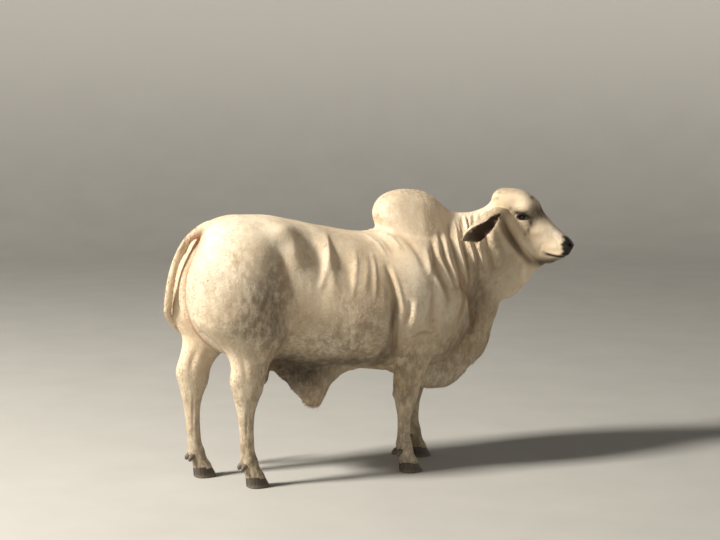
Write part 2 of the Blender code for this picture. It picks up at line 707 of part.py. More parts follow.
def grown_outline(outline, by):
    """A polygon, given anticlockwise, grown outwards by this much."""
    points = [Vector(point) for point in outline]
    grown = []
    for i, point in enumerate(points):
        before = (point - points[i - 1]).normalized()
        after = (points[(i + 1) % len(points)] - point).normalized()
        normal_a, normal_b = Vector((before.y, -before.x)), Vector((after.y, -after.x))
        middle = (normal_a + normal_b).normalized()
        grown.append(point + middle * by / max(0.2, middle.dot(normal_a)))
    return grown


def side_prism(outline, y_from, y_to, grow):
    """A block with this outline seen from the side, between two values of y."""
    shape = grown_outline(outline, grow)
    rings = [[(x, y, z) for x, z in shape] for y in (y_from - grow, y_to + grow)]
    return capped("side_prism", np.array(rings))


def roof_prism(stations, grow, bend):
    """The space under a roof over the middle of the body: stations of s, ridge, half width, fall, base."""
    rows = fill_rows(stations, 6 * (len(stations) - 1) + 1)
    rings = []
    for i, (s, ridge, half, fall, base) in enumerate(rows):
        s += grow * ((i == len(rows) - 1) - (i == 0)) * (1 if rows[-1][0] > rows[0][0] else -1)
        rings.append(
            [
                (s, 0.0, ridge + 1.6 * grow),
                (s, half + grow, ridge - fall + 1.2 * grow),
                (s, half + grow, base - grow),
                (s, -half - grow, base - grow),
                (s, -half - grow, ridge - fall + 1.2 * grow),
            ]
        )
    rings = np.array(rings)
    if bend:
        rings = turned(rings.reshape(-1, 3)).reshape(rings.shape)
    return capped("roof_prism", rings)


def neck_plane(top, bottom):
    """A plane through a slanted line of the straight profile, where the turned neck brings it."""
    ends = turned(np.array([[top[0], 0.0, top[1]], [bottom[0], 0.0, bottom[1]]]))
    middle_s = (top[0] + bottom[0]) / 2
    turn = NECK_TURN * float(ease((middle_s - TURN_START) / (TURN_END - TURN_START)))
    down = Vector(ends[1] - ends[0])
    across = Vector((-math.sin(turn), math.cos(turn), 0.0))
    normal = across.cross(down).normalized()
    return (Vector(ends[0]) + Vector(ends[1])) / 2, normal if normal.x > 0 else -normal


def dewlap_space(grow):
    """The space that holds the dewlap."""
    return roof_prism(DEWLAP_ROOF, grow, True)


def sheath_space(grow):
    """The space that holds the sheath."""
    return roof_prism(SHEATH_ROOF, grow, False)


def head_space(grow):
    """The space before the joint of head and neck."""
    return half_space(*neck_plane(HEAD_JOINT[0], HEAD_JOINT[1]), grow)


def neck_space(grow):
    """The space before the joint of neck and chest."""
    return half_space(*neck_plane(NECK_JOINT[0], NECK_JOINT[1]), grow)


def hump_space(grow):
    """The space above the withers that holds the hump."""
    return side_prism(HUMP_OUTLINE, -0.5, 0.5, grow)


def leg_space(outline, side, inner):
    """The space that holds one leg, as a function of its growth."""

    def space(grow):
        near, far = (inner, 0.7) if side == "left" else (-0.7, -inner)
        return side_prism(outline, near, far, grow)

    return space


def level_space(height, upwards):
    """The space above or below a height, as a function of its growth."""

    def space(grow):
        return half_space((0.0, 0.0, height), (0.0, 0.0, 1.0 if upwards else -1.0), grow)

    return space


def scrotum_space(grow):
    """The space under the belly that holds the scrotum."""
    return side_prism(SCROTUM_OUTLINE, -0.075, 0.075, grow)


def tail_space(share, grow):
    """The space beyond a share of the tail's length."""
    here, there = Vector(tail_row(share)[:3]), Vector(tail_row(share + 0.02)[:3])
    normal = (there - here).normalized()
    return half_space(here, normal, grow, 0.14, 0.046 if share < 0.5 else 0.12)


def part_off(body, name, space):
    """Takes the piece that lies in the space from the body, with a thin gap."""
    piece = keep_largest(boolean(duplicate(body, name), space(0.0), "INTERSECT"))
    keep_largest(boolean(body, space(GAP), "DIFFERENCE"))
    return piece


def almond_cutter(side):
    """A flaring cutter with the outline of the open eye."""
    out = with_side(EYE_OUT, side)
    along = (Vector((1.0, 0.0, 0.0)) - out * out.x).normalized()
    up = out.cross(along)
    if up.z < 0:
        up = -up
    rings = []
    for depth, scale in ((0.004, 0.90), (0.0205, 1.0), (0.045, 2.0)):
        ring = []
        for k in range(20):
            turn = 2 * math.pi * k / 20
            a = math.cos(turn)
            b = math.sin(turn) * math.sqrt(abs(math.sin(turn)))
            place = (
                with_side(EYE_PLACE, side)
                + out * depth
                + along * (a * LID_OPENING[0] * scale)
                + up * (b * LID_OPENING[1] * scale - 0.001)
            )
            ring.append(place)
        rings.append(ring)
    return capped("almond_cutter", np.array(rings))


def ball(name, radius, rings_count=9, around=14):
    """A sphere about the origin with its poles on the X axis."""
    rings = []
    for i in range(1, rings_count):
        polar = math.pi * i / rings_count
        angle = np.linspace(0, 2 * math.pi, around, endpoint=False)
        rings.append(
            np.stack(
                [
                    np.full(around, -radius * math.cos(polar)),
                    radius * math.sin(polar) * np.cos(angle),
                    radius * math.sin(polar) * np.sin(angle),
                ],
                axis=1,
            )
        )
    obj = loft(name, np.array(rings))
    points = points_of(obj.data)
    points[-2:] = ((-radius, 0.0, 0.0), (radius, 0.0, 0.0))
    set_points(obj.data, points)
    return obj


def placed(obj, matrix):
    """Moves the mesh itself."""
    obj.data.transform(matrix)
    if matrix.determinant() < 0:
        obj.data.flip_normals()
    return obj


def eyeball(name, side, radius):
    """One eyeball on the straight head, with a slightly bulging cornea."""
    out = with_side(EYE_OUT, side)
    obj = ball(name, radius)
    turn = out.to_track_quat("X", "Z").to_matrix().to_4x4()
    return placed(obj, Matrix.Translation(with_side(EYE_PLACE, side)) @ turn)


def nostril_cutter(side):
    """The hollow of one nostril, slanting back into the nose."""
    obj = ball("nostril_cutter", 1.0, 7, 12)
    size = Matrix.Diagonal((0.024, 0.0085, 0.0130, 1.0))
    out = with_side(Vector((0.75, 0.55, 0.10)), side)
    turn = out.to_track_quat("X", "Z").to_matrix().to_4x4()
    return placed(obj, Matrix.Translation(with_side(NOSTRIL_PLACE, side)) @ turn @ size)


def mouth_cutter(y_from, y_to, points):
    """A thin blade along the line of the mouth."""
    line = [Vector(point) for point in points]
    upper, lower = [], []
    for i, point in enumerate(line):
        ahead = (line[min(i + 1, len(line) - 1)] - line[max(i - 1, 0)]).normalized()
        across = Vector((-ahead.y, ahead.x)) * MOUTH_WIDTH / 2
        upper.append(point + across)
        lower.append(point - across)
    outline = upper + lower[::-1]
    rings = [[(s, y, z) for s, z in outline] for y in (y_from, y_to)]
    return capped("mouth_cutter", np.array(rings))


def ear(name, side, rows=12, across=9):
    """One ear: a long leaf, rolled at its root and open towards its tip."""
    line = fill_rows(EAR_LINE, rows)
    shape = np.asarray(EAR_SHAPE, float)
    share = np.linspace(0, 1, rows)
    width, upper, lower, thick = (steady_curve(shape[:, 0], shape[:, k], share) for k in (1, 2, 3, 4))
    ahead = np.gradient(line, axis=0)
    ahead /= np.linalg.norm(ahead, axis=1)[:, None]
    rings = []
    for i in range(rows):
        along = Vector(ahead[i])
        back = (EAR_BACK - along * EAR_BACK.dot(along)).normalized()
        low = along.cross(back).normalized()
        if low.z > 0:
            low = -low
        radius = width[i] / math.radians(lower[i] - upper[i])
        centre = Vector(line[i]) - back * radius
        outer, inner = [], []
        for v in np.linspace(-1, 1, across):
            turn = math.radians(upper[i] + (lower[i] - upper[i]) * (v + 1) / 2)
            way = back * math.cos(turn) + low * math.sin(turn)
            depth = thick[i] * (1 - 0.55 * v * v)
            outer.append(centre + way * (radius + 0.4 * depth))
            inner.append(centre + way * (radius - 0.6 * depth))
        rings.append(outer + inner[::-1])
    obj = capped(name, np.array(rings))
    if side == "right":
        placed(obj, Matrix.Diagonal((1.0, -1.0, 1.0, 1.0)))
    return obj


def claw(name, x, y, side_sign, toe, rows=5, around=12):
    """One claw of a hoof, flat below and flat towards its neighbour. It points along +X."""
    rings = []
    for i in range(rows):
        share = i / (rows - 1)
        z = (CORONET_HEIGHT - GAP) * (1 - share)
        front = 0.050 + toe * share
        heel = -0.052 + 0.004 * share
        middle, half = (front + heel) / 2, (front - heel) / 2
        width = 0.053 + 0.006 * share
        ring = []
        for k in range(around):
            turn = 2 * math.pi * k / around
            c, s = math.cos(turn), math.sin(turn)
            if s >= 0:
                out = CLAW_GAP / 2 + width * s**0.8 * (1 - 0.16 * c)
            else:
                out = CLAW_GAP / 2 - 0.0004 * s
            along = c if s >= 0 else c * (1 - 0.12 * s * s)
            ring.append((x + middle + half * along, y + side_sign * out, z))
        rings.append(ring)
    return capped(name, np.array(rings))


def dewclaw(name, x, y, z, lean):
    """A short horn behind the fetlock, pointing down and back."""
    stations = (
        (x + 0.036, y, z + 0.016, 0.0130),
        (x + 0.020, y, z + 0.006, 0.0150),
        (x + 0.008, y + 0.3 * lean, z - 0.006, 0.0130),
        (x + 0.001, y + 0.5 * lean, z - 0.015, 0.0060),
    )
    rows = fill_rows(stations, 6)
    angle = np.linspace(0, 2 * math.pi, 8, endpoint=False)
    rings = []
    for a, b, c, radius in rows:
        rings.append(
            np.stack(
                [
                    a - 0.6 * radius * np.cos(angle),
                    b + radius * np.sin(angle),
                    c + 0.8 * radius * np.cos(angle),
                ],
                axis=1,
            )
        )
    return loft(name, np.array(rings))


def lock(path, widths, thickness, facing):
    """A flat tapered lock of hair: its rings along a path."""
    path = np.asarray(path, float)
    ahead = np.gradient(path, axis=0)
    ahead /= np.linalg.norm(ahead, axis=1)[:, None]
    rings = []
    for place, along, width in zip(path, ahead, widths):
        across = np.cross(along, facing)
        across /= np.linalg.norm(across)
        out = np.cross(across, along)
        thick = min(thickness, 0.6 * width)
        rings.append(
            [
                place + across * width,
                place + out * thick,
                place - across * width,
                place - out * thick,
            ]
        )
    return loft("lock", np.array(rings))


def hanging_lock(root, length, spread, turn, width, sway, seed):
    """A lock that leaves its root, spreads out and hangs down to a point."""
    random = np.random.default_rng(seed)
    out = np.array([math.cos(turn), math.sin(turn), 0.0])
    wave = random.uniform(-1, 1, 2) * 0.012
    path, widths = [], []
    for step, share in enumerate((0.0, 0.33, 0.70, 1.0)):
        reach = spread * math.sin(math.pi * (0.15 + 0.62 * share))
        place = np.array(root) + out * reach + np.array([sway * share**2, 0.0, -length * share])
        place[0] += wave[0] * math.sin(3 * share)
        place[1] += wave[1] * math.sin(4 * share)
        path.append(place)
        widths.append(width * (1.0, 1.05, 0.75, 0.12)[step])
    return lock(path, widths, 0.0035, out)


def united(name, pieces):
    """One closed body out of overlapping pieces."""
    body = pieces[0]
    body.name = name
    for piece in pieces[1:]:
        modifier = body.modifiers.new("Union", "BOOLEAN")
        modifier.operation = "UNION"
        modifier.solver = "MANIFOLD"
        modifier.object = piece
        applied(body)
        bpy.data.objects.remove(piece)
    return keep_largest(body)


def tail_switch():
    """The brush at the tail's end."""
    ends = [tail_row(share) for share in (0.84, 0.92, 1.0)]
    x, y, z = ends[-1][:3]
    core = [tuple(row) for row in ends]
    core += [(x + 0.008, y, z - 0.09, 0.018), (x + 0.014, y, z - 0.17, 0.010), (x + 0.018, y, z - 0.21, 0.003)]
    pieces = [tube("core", core, 10, 3)]
    for k in range(17):
        turn = 2.399963 * k
        height = 0.075 - 0.0085 * k
        length = 0.25 + 0.035 * math.sin(2.1 * k)
        pieces.append(
            hanging_lock((x, y, z + height), length, 0.034, turn, 0.0115, 0.015, 40 + k)
        )
    return united("tail_switch", pieces)


def sheath_tuft(sheath):
    """Short locks round the opening of the sheath, joined to it."""
    pieces = [sheath]
    for k in range(7):
        turn = 2 * math.pi * k / 7
        root = (-0.352 + 0.018 * math.cos(turn), 0.018 * math.sin(turn), 0.402)
        pieces.append(hanging_lock(root, 0.085 + 0.012 * math.sin(3 * k), 0.012, turn, 0.0085, 0.0, 90 + k))
    return united("sheath", pieces)


def make_material(name, colour, roughness):
    """A plain surface."""
    material = bpy.data.materials.new(name)
    material.use_nodes = True
    shader = material.node_tree.nodes["Principled BSDF"]
    shader.inputs["Base Color"].default_value = (*colour, 1.0)
    shader.inputs["Roughness"].default_value = roughness
    return material


def dress(objects, material):
    """Gives the objects one material."""
    for obj in objects:
        obj.data.materials.clear()
        obj.data.materials.append(material)


def clear_scene():
    """Removes the objects that a new scene holds."""
    for obj in list(bpy.data.objects):
        bpy.data.objects.remove(obj)


def make_head():
    """The head with its face, mouth, nostrils and the sockets of its eyes."""
    pieces = [
        slanted_loft("neck", NECK, 60),
        slanted_loft("skull", HEAD, 110, 56),
        slanted_loft("dewlap", DEWLAP, 120),
    ]
    head = fused("head", pieces, HEAD_VOXEL, HEAD_SMOOTH_STEPS)
    swell(head.data, SHAPES)
    raise_lids(head.data)
    set_points(head.data, turned(points_of(head.data)))
    keep_largest(boolean(head, head_space(0.02), "INTERSECT"))
    keep_largest(boolean(head, dewlap_space(-0.008), "DIFFERENCE"))
    thinned(head, HEAD_TRIANGLES)
    keep_largest(boolean(head, head_space(0.0), "INTERSECT"))
    keep_largest(boolean(head, dewlap_space(GAP), "DIFFERENCE"))
    move = head_matrix()
    blades = (
        (-0.055, 0.055, MOUTH_LINE[:2]),
        (0.036, 0.110, MOUTH_LINE),
        (-0.110, -0.036, MOUTH_LINE),
    )
    for y_from, y_to, points in blades:
        boolean(head, placed(mouth_cutter(y_from, y_to, points), move), "DIFFERENCE")
    for side in ("left", "right"):
        boolean(head, placed(nostril_cutter(side), move), "DIFFERENCE")
        boolean(head, placed(eyeball("socket", side, EYE_RADIUS + GAP), move), "DIFFERENCE")
        boolean(head, placed(almond_cutter(side), move), "DIFFERENCE")
    return keep_largest(head)


def make_body():
    """Torso, hump, neck, dewlap, sheath, scrotum and legs, each parted from the next."""
    torso = flesh()
    set_points(torso.data, turned(points_of(torso.data)))
    torso.name = "torso"
    spare = boolean(head_space(-0.02), dewlap_space(0.02), "DIFFERENCE")
    keep_largest(boolean(torso, spare, "DIFFERENCE"))
    thinned(torso, BODY_TRIANGLES)
    pieces = [part_off(torso, "dewlap", dewlap_space)]
    keep_largest(boolean(torso, head_space(GAP), "DIFFERENCE"))
    pieces.append(sheath_tuft(part_off(torso, "sheath", sheath_space)))
    pieces.append(part_off(torso, "scrotum", scrotum_space))
    for side in ("left", "right"):
        pieces.append(part_off(torso, "hind_leg_" + side, leg_space(HIND_OUTLINE, side, 0.077)))
        pieces.append(part_off(torso, "fore_leg_" + side, leg_space(FORE_OUTLINE, side, 0.100)))
    pieces.append(part_off(torso, "hump", hump_space))
    pieces.append(part_off(torso, "neck", neck_space))
    keep_largest(boolean(torso, tail_space(TAIL_JOINT, 0.0), "DIFFERENCE"))
    for piece in pieces:
        if "leg" in piece.name:
            keep_largest(boolean(piece, level_space(CORONET_HEIGHT, False)(0.0), "DIFFERENCE"))
    return [torso] + pieces


def make_feet(legs):
    """The claws and dewclaws of every leg."""
    claws = []
    for leg in legs:
        side = "left" if leg.name.endswith("left") else "right"
        fore = leg.name.startswith("fore")
        middle = (0.226 + KNEE_STANCE[side]) if fore else (-0.862 + HOCK_STANCE[side])
        y = 0.185 if side == "left" else -0.185
        short = leg.name.replace("_leg", "")
        back = middle - (0.088 if fore else 0.092)
        for sign, which in ((1, "outer"), (-1, "inner")):
            out = sign if side == "left" else -sign
            claws.append(claw(f"claw_{short}_{which}", middle, y, out, 0.040 if fore else 0.034))
            horn = dewclaw(f"dewclaw_{short}_{which}", back, y + out * 0.024, 0.118, out * 0.010)
            claws.append(keep_largest(boolean(horn, fattened(leg, "leg_space", GAP), "DIFFERENCE")))
    return claws


def make_ears(head):
    """Both ears, cut clear of the head."""
    ears = []
    for side in ("left", "right"):
        leaf = placed(ear("ear_" + side, side), head_matrix())
        ears.append(keep_largest(boolean(leaf, fattened(head, "head_space", GAP), "DIFFERENCE")))
    return ears


def make_tail(body):
    """The tail and its switch, cut clear of the body."""
    shares = [TAIL_JOINT - 0.03 + k * (1.03 - TAIL_JOINT) / 10 for k in range(11)]
    tail = tube("tail", [tail_row(min(1.0, share)) for share in shares], 12, 3)
    boolean(tail, half_space_back(TAIL_JOINT, GAP), "DIFFERENCE")
    boolean(tail, tail_space(SWITCH_JOINT, 0.0), "DIFFERENCE")
    switch = tail_switch()
    boolean(switch, half_space_back(SWITCH_JOINT, GAP), "DIFFERENCE")
    for piece in body:
        if piece.name in ("torso", "hind_leg_left"):
            boolean(tail, fattened(piece, "tail_clearance", GAP), "DIFFERENCE")
    return [keep_largest(tail), keep_largest(switch)]


def half_space_back(share, grow):
    """The space before a share of the tail's length."""
    here, there = Vector(tail_row(share)[:3]), Vector(tail_row(share + 0.02)[:3])
    return half_space(here, here - there, grow, 0.12, 0.12)


def main():
    clear_scene()
    head = make_head()
    body = make_body()
    legs = [piece for piece in body if "leg" in piece.name]
    feet = make_feet(legs)
    ears = make_ears(head)
    tail = make_tail(body)
    eyes = [
        placed(eyeball("eye_" + side, side, EYE_RADIUS), head_matrix()) for side in ("left", "right")
    ]
    for obj in (head, *body, *ears, *tail, *eyes, *feet):
        placed(obj, Matrix.Translation(TO_MIDDLE))
    dress([head, *body, *ears, tail[0]], make_material("coat", (0.78, 0.70, 0.58), 0.75))
    dress([tail[1]], make_material("switch_hair", (0.10, 0.08, 0.07), 0.7))
    dress(feet, make_material("horn", (0.06, 0.05, 0.045), 0.45))
    dress(eyes, make_material("eye", (0.015, 0.010, 0.008), 0.08))


if __name__ == "__main__":
    main()
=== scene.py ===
"""The looks of a life-size Brahman bull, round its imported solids, in metres.

One skin takes the place of every node of flesh. It is built from the same sections as the
solids, but finer: first straight, where folds, lids, lips and nostrils are made, and then with
the neck turned. In a profile, s is the distance forward along the body and z the height.
"""

import math
from contextlib import contextmanager

import bmesh
import bpy
import numpy as np
from mathutils import Matrix, Vector, noise
from mathutils.bvhtree import BVHTree
from mathutils.kdtree import KDTree


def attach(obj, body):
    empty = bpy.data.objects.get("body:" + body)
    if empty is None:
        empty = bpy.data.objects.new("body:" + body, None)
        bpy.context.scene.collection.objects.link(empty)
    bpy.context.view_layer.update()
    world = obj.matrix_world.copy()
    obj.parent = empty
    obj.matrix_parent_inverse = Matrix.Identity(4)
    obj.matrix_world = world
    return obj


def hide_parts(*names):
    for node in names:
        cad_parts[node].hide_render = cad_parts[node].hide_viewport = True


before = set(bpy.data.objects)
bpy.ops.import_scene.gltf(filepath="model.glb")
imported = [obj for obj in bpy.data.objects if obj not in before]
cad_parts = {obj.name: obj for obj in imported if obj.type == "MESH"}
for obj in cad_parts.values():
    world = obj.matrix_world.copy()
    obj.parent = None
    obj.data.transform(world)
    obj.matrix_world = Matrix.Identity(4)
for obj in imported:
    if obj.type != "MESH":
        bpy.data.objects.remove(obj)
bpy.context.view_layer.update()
SIDE_SIGN = {"left": 1, "right": -1}

# Driving sizes: the neck turns between two places, and the head starts at a third
NECK_TURN = math.radians(-35.0)
TURN_START = 0.42
TURN_END = 0.88
TURN_STEPS = 400
HEAD_START = 0.8
TAIL_LEANNESS = 0.86
TAIL_DRAWN_IN = 0.008
TAIL_STATIONS = 40
# How far forward each leg stands, and the heights between which it bends there
STANCE = {
    "hind": {"left": -0.095, "right": 0.08},
    "fore": {"left": 0.17, "right": -0.07},
}
BEND = {"hind": (0.62, 0.95), "fore": (0.5, 1.05)}

# Skin
SKIN_VOXEL = 0.0066
SKIN_SMOOTH_STEPS = 9
BODY_SMOOTH_STEPS = 8
SHEATH_SMOOTH_STEPS = 45
HEAD_SMOOTH_STEPS = 4
JOINT_SMOOTH_STEPS = 10
COAT_DEPTH = 0.0025
# Distance from an eye within which the faces of the skin are halved
FINE_EYE = 0.055
# Distance from an ear's inner face up to which the skin counts as that face
EAR_FACE_REACH = 0.0034

# Places on the straight head, of the left side
EYE_PLACE = Vector((0.944, 0.085, 1.441))
EYE_OUT = Vector((0.22, 0.96, 0.1)).normalized()
EYE_RADIUS = 0.0205
# How much smaller the eyeball is; its socket is larger by twice as much
EYE_PLAY = 0.0002
LID_THICKNESS = 0.0035
# Half the length and half the height of the eye's opening, and how far it lies below the middle
LID_OPENING = (0.0205, 0.01)
LID_DROP = 0.001
# Depth and scale of the sections of the cut between the lids
LID_CUT = ((0.004, 0.9), (0.0205, 1.0), (0.045, 2.0))
MOUTH_LINE = ((1.235, 1.228), (1.205, 1.211), (1.155, 1.212), (1.105, 1.222), (1.066, 1.238))
# Both parts of the nostril: s, y, z, radius
NOSTRIL_SLIT = (
    (1.247, 0.026, 1.27, 0.0065),
    (1.24, 0.04, 1.273, 0.0108),
    (1.228, 0.053, 1.279, 0.0122),
    (1.21, 0.066, 1.289, 0.008),
    (1.192, 0.075, 1.3, 0.003),
)
NOSTRIL_DEEP = (
    (1.236, 0.05, 1.276, 0.0095),
    (1.215, 0.043, 1.281, 0.0095),
    (1.19, 0.036, 1.288, 0.006),
)

# Brings the middle of the whole model's box over the origin
TO_MIDDLE = Vector((0.0165, -0.003, 0.0))

# Feet
CORONET_HEIGHT = 0.058
CLAW_GAP = 0.003
FOOT_SPACING = 0.185
DEWCLAW_SPACING = 0.024
DEWCLAW_HEIGHT = 0.118
DEWCLAW_LEAN = 0.01
# Middle of the claws, how far their toes run out, and how far behind the dewclaws lie
FEET = {"fore": (0.226, 0.04, 0.088), "hind": (-0.862, 0.034, 0.092)}

# Coat: tufts for each square metre, how many more there are on face and feet, and their size
COAT_PIECES = 8
TUFTS = 13500
MORE_TUFTS = 15000
TUFT_LENGTH = 0.016
TUFT_WIDTH = 0.00095
TUFT_LIFT = 0.0007
COAT_SEED = 11
# Distances from the tail's line up to which hair lies along it and grows longer
TAIL_LIE_REACH = 0.045
TAIL_HAIR_REACH = 0.035
# Most that a place may be bare and still grow hair
BARE_LIMIT = 0.4
# Size on the map for baking of the patch that one tuft takes
UV_PATCH = 0.003

# Lashes of one eye, of which the first are those of the upper lid
LASHES = 150
UPPER_LASHES = 105
LASH_WIDTH = 0.00042
LASH_SEED = 31

# Switch of the tail
SWITCH_LOCKS = 760
SWITCH_LOCK_WIDTH = 0.0034
SWITCH_SEED = 32

# The photograph's view, fitted to the outline: in metres, and for the focal length, the width,
# the middle row, the horizon's row and the bull's place beside the middle in pixels
VIEW_TURN = math.radians(25.0)
VIEW_DISTANCE = 10.5
VIEW_HEIGHT = 2.3
VIEW_FOCAL = 1850.0
VIEW_WIDTH = 720
VIEW_MIDDLE = 270
VIEW_HORIZON = 67
VIEW_ASIDE = 10
SENSOR_WIDTH = 36.0

# Lights: name, place, what it points at, size, power, colour
LIGHTS = (
    ("key", (-10.4, -0.35, 8.6), (0.1, 0.0, 0.9), 2.2, 3250.0, (1.0, 0.94, 0.83)),
    ("fill", (3.0, -8.0, 4.0), (0.0, 0.0, 0.8), 5.0, 17.0, (1.0, 0.98, 0.94)),
)
WORLD_COLOUR = (1.0, 0.98, 0.94, 1.0)
WORLD_STRENGTH = 0.09

# Floor: radii of its level rings, radius and steps of the bend behind them, height of its end
FLOOR_RADII = (0.5, 1.5, 3.0, 5.0, 7.5, 10.0, 12.0)
FLOOR_BEND = 5.0
FLOOR_BEND_STEPS = 12
FLOOR_TOP = 9.0
FLOOR_AROUND = 96

# Scrotum, down from the body: z, half length, half width
SCROTUM_MIDDLE = -0.7
SCROTUM = (
    (0.8, 0.045, 0.05),
    (0.74, 0.052, 0.056),
    (0.68, 0.066, 0.07),
    (0.62, 0.076, 0.082),
    (0.57, 0.074, 0.08),
    (0.535, 0.054, 0.06),
    (0.522, 0.02, 0.024),
)

# One row for each section of the trunk:
# s, top, bottom, half width, height of the widest place, roundness above, roundness below
TRUNK = (
    (-1.122, 1.15, 0.985, 0.06, 1.07, 2.0, 2.0),
    (-1.106, 1.215, 0.93, 0.118, 1.075, 2.0, 2.0),
    (-1.08, 1.272, 0.88, 0.168, 1.08, 2.0, 2.0),
    (-1.04, 1.345, 0.83, 0.215, 1.085, 2.1, 2.0),
    (-0.99, 1.422, 0.78, 0.268, 1.09, 2.2, 2.0),
    (-0.92, 1.47, 0.73, 0.31, 1.08, 2.4, 2.0),
    (-0.8, 1.491, 0.7, 0.325, 1.1, 2.6, 2.0),
    (-0.65, 1.486, 0.675, 0.31, 1.12, 2.6, 2.0),
    (-0.5, 1.46, 0.65, 0.318, 1.08, 2.4, 2.1),
    (-0.35, 1.427, 0.63, 0.345, 1.02, 2.2, 2.2),
    (-0.2, 1.396, 0.607, 0.368, 0.98, 2.1, 2.3),
    (-0.05, 1.374, 0.587, 0.372, 0.96, 2.0, 2.3),
    (0.1, 1.4, 0.567, 0.355, 0.98, 2.0, 2.3),
    (0.25, 1.425, 0.567, 0.338, 1.0, 1.9, 2.2),
    (0.4, 1.415, 0.59, 0.308, 1.0, 1.9, 2.2),
    (0.52, 1.35, 0.65, 0.255, 1.0, 1.9, 2.1),
    (0.61, 1.23, 0.76, 0.185, 0.99, 2.0, 2.0),
    (0.65, 1.1, 0.88, 0.1, 0.99, 2.0, 2.0),
)

# One row for each slanted section: top s, top z, bottom s, bottom z, half width,
# share of the way up where it is widest, roundness above, roundness below
NECK = (
    (0.3, 1.4, 0.4, 0.7, 0.285, 0.45, 1.7, 2.0),
    (0.43, 1.455, 0.54, 0.83, 0.245, 0.45, 1.6, 2.0),
    (0.53, 1.459, 0.65, 0.95, 0.205, 0.46, 1.6, 2.0),
    (0.63, 1.464, 0.755, 1.035, 0.172, 0.48, 1.7, 2.0),
    (0.71, 1.49, 0.84, 1.085, 0.143, 0.5, 1.8, 2.0),
    (0.77, 1.535, 0.905, 1.125, 0.115, 0.52, 2.0, 2.0),
    (0.81, 1.56, 0.95, 1.17, 0.09, 0.54, 2.0, 2.0),
    (0.85, 1.56, 0.985, 1.205, 0.062, 0.54, 2.0, 2.0),
)
HUMP = (
    (0.026, 1.47, 0.034, 1.44, 0.03, 0.5, 2.0, 2.0),
    (0.034, 1.512, 0.052, 1.4, 0.072, 0.4, 2.0, 2.0),
    (0.062, 1.562, 0.08, 1.34, 0.112, 0.3, 2.0, 2.0),
    (0.124, 1.597, 0.128, 1.26, 0.155, 0.2, 1.9, 2.0),
    (0.208, 1.61, 0.205, 1.18, 0.2, 0.1, 1.7, 2.0),
    (0.3, 1.602, 0.28, 1.12, 0.222, 0.1, 1.6, 2.0),
    (0.385, 1.57, 0.35, 1.08, 0.222, 0.1, 1.5, 2.0),
    (0.452, 1.518, 0.42, 1.06, 0.205, 0.1, 1.45, 2.0),
    (0.52, 1.472, 0.5, 1.06, 0.165, 0.1, 1.45, 2.0),
    (0.59, 1.458, 0.57, 1.1, 0.105, 0.1, 1.5, 2.0),
    (0.65, 1.455, 0.64, 1.2, 0.04, 0.1, 1.6, 2.0),
)
HEAD = (
    (0.752, 1.52, 0.785, 1.44, 0.078, 0.5, 2.0, 2.0),
    (0.78, 1.58, 0.8, 1.43, 0.094, 0.5, 2.2, 2.1),
    (0.84, 1.602, 0.825, 1.415, 0.107, 0.5, 2.4, 2.3),
    (0.925, 1.594, 0.855, 1.39, 0.115, 0.55, 2.5, 2.5),
    (0.99, 1.562, 0.89, 1.345, 0.114, 0.6, 2.6, 2.6),
    (1.032, 1.507, 0.925, 1.293, 0.102, 0.6, 2.7, 2.6),
    (1.066, 1.457, 0.957, 1.247, 0.09, 0.56, 2.6, 2.5),
    (1.112, 1.404, 0.992, 1.2, 0.081, 0.54, 2.5, 2.3),
    (1.157, 1.36, 1.035, 1.172, 0.077, 0.52, 2.5, 2.2),
    (1.198, 1.327, 1.09, 1.168, 0.078, 0.52, 2.5, 2.2),
    (1.228, 1.3, 1.15, 1.186, 0.074, 0.52, 2.4, 2.2),
    (1.243, 1.275, 1.208, 1.215, 0.056, 0.52, 2.2, 2.0),
)
DEWLAP = (
    (1.075, 1.215, 1.076, 1.16, 0.012, 0.6, 2.0, 1.6),
    (1.02, 1.235, 1.028, 1.12, 0.022, 0.6, 2.0, 1.6),
    (0.99, 1.255, 1.0, 1.086, 0.029, 0.6, 2.0, 1.6),
    (0.95, 1.275, 0.974, 1.046, 0.035, 0.6, 2.0, 1.6),
    (0.9, 1.285, 0.935, 1.004, 0.04, 0.6, 2.0, 1.6),
    (0.85, 1.275, 0.88, 0.962, 0.045, 0.6, 2.0, 1.6),
    (0.79, 1.22, 0.828, 0.94, 0.05, 0.6, 2.0, 1.6),
    (0.715, 1.08, 0.8, 0.86, 0.058, 0.6, 2.0, 1.6),
    (0.64, 0.95, 0.77, 0.767, 0.066, 0.6, 2.0, 1.6),
    (0.575, 0.85, 0.754, 0.69, 0.072, 0.6, 2.0, 1.6),
    (0.52, 0.78, 0.714, 0.62, 0.077, 0.6, 2.0, 1.6),
    (0.47, 0.73, 0.642, 0.552, 0.082, 0.6, 2.0, 1.6),
    (0.42, 0.7, 0.57, 0.474, 0.086, 0.6, 2.0, 1.6),
    (0.37, 0.68, 0.472, 0.43, 0.088, 0.6, 2.0, 1.6),
    (0.31, 0.66, 0.37, 0.432, 0.086, 0.6, 2.0, 1.7),
    (0.24, 0.66, 0.27, 0.478, 0.079, 0.6, 2.0, 1.8),
    (0.15, 0.66, 0.16, 0.53, 0.068, 0.6, 2.0, 1.9),
    (0.06, 0.66, 0.06, 0.58, 0.05, 0.6, 2.0, 2.0),
)
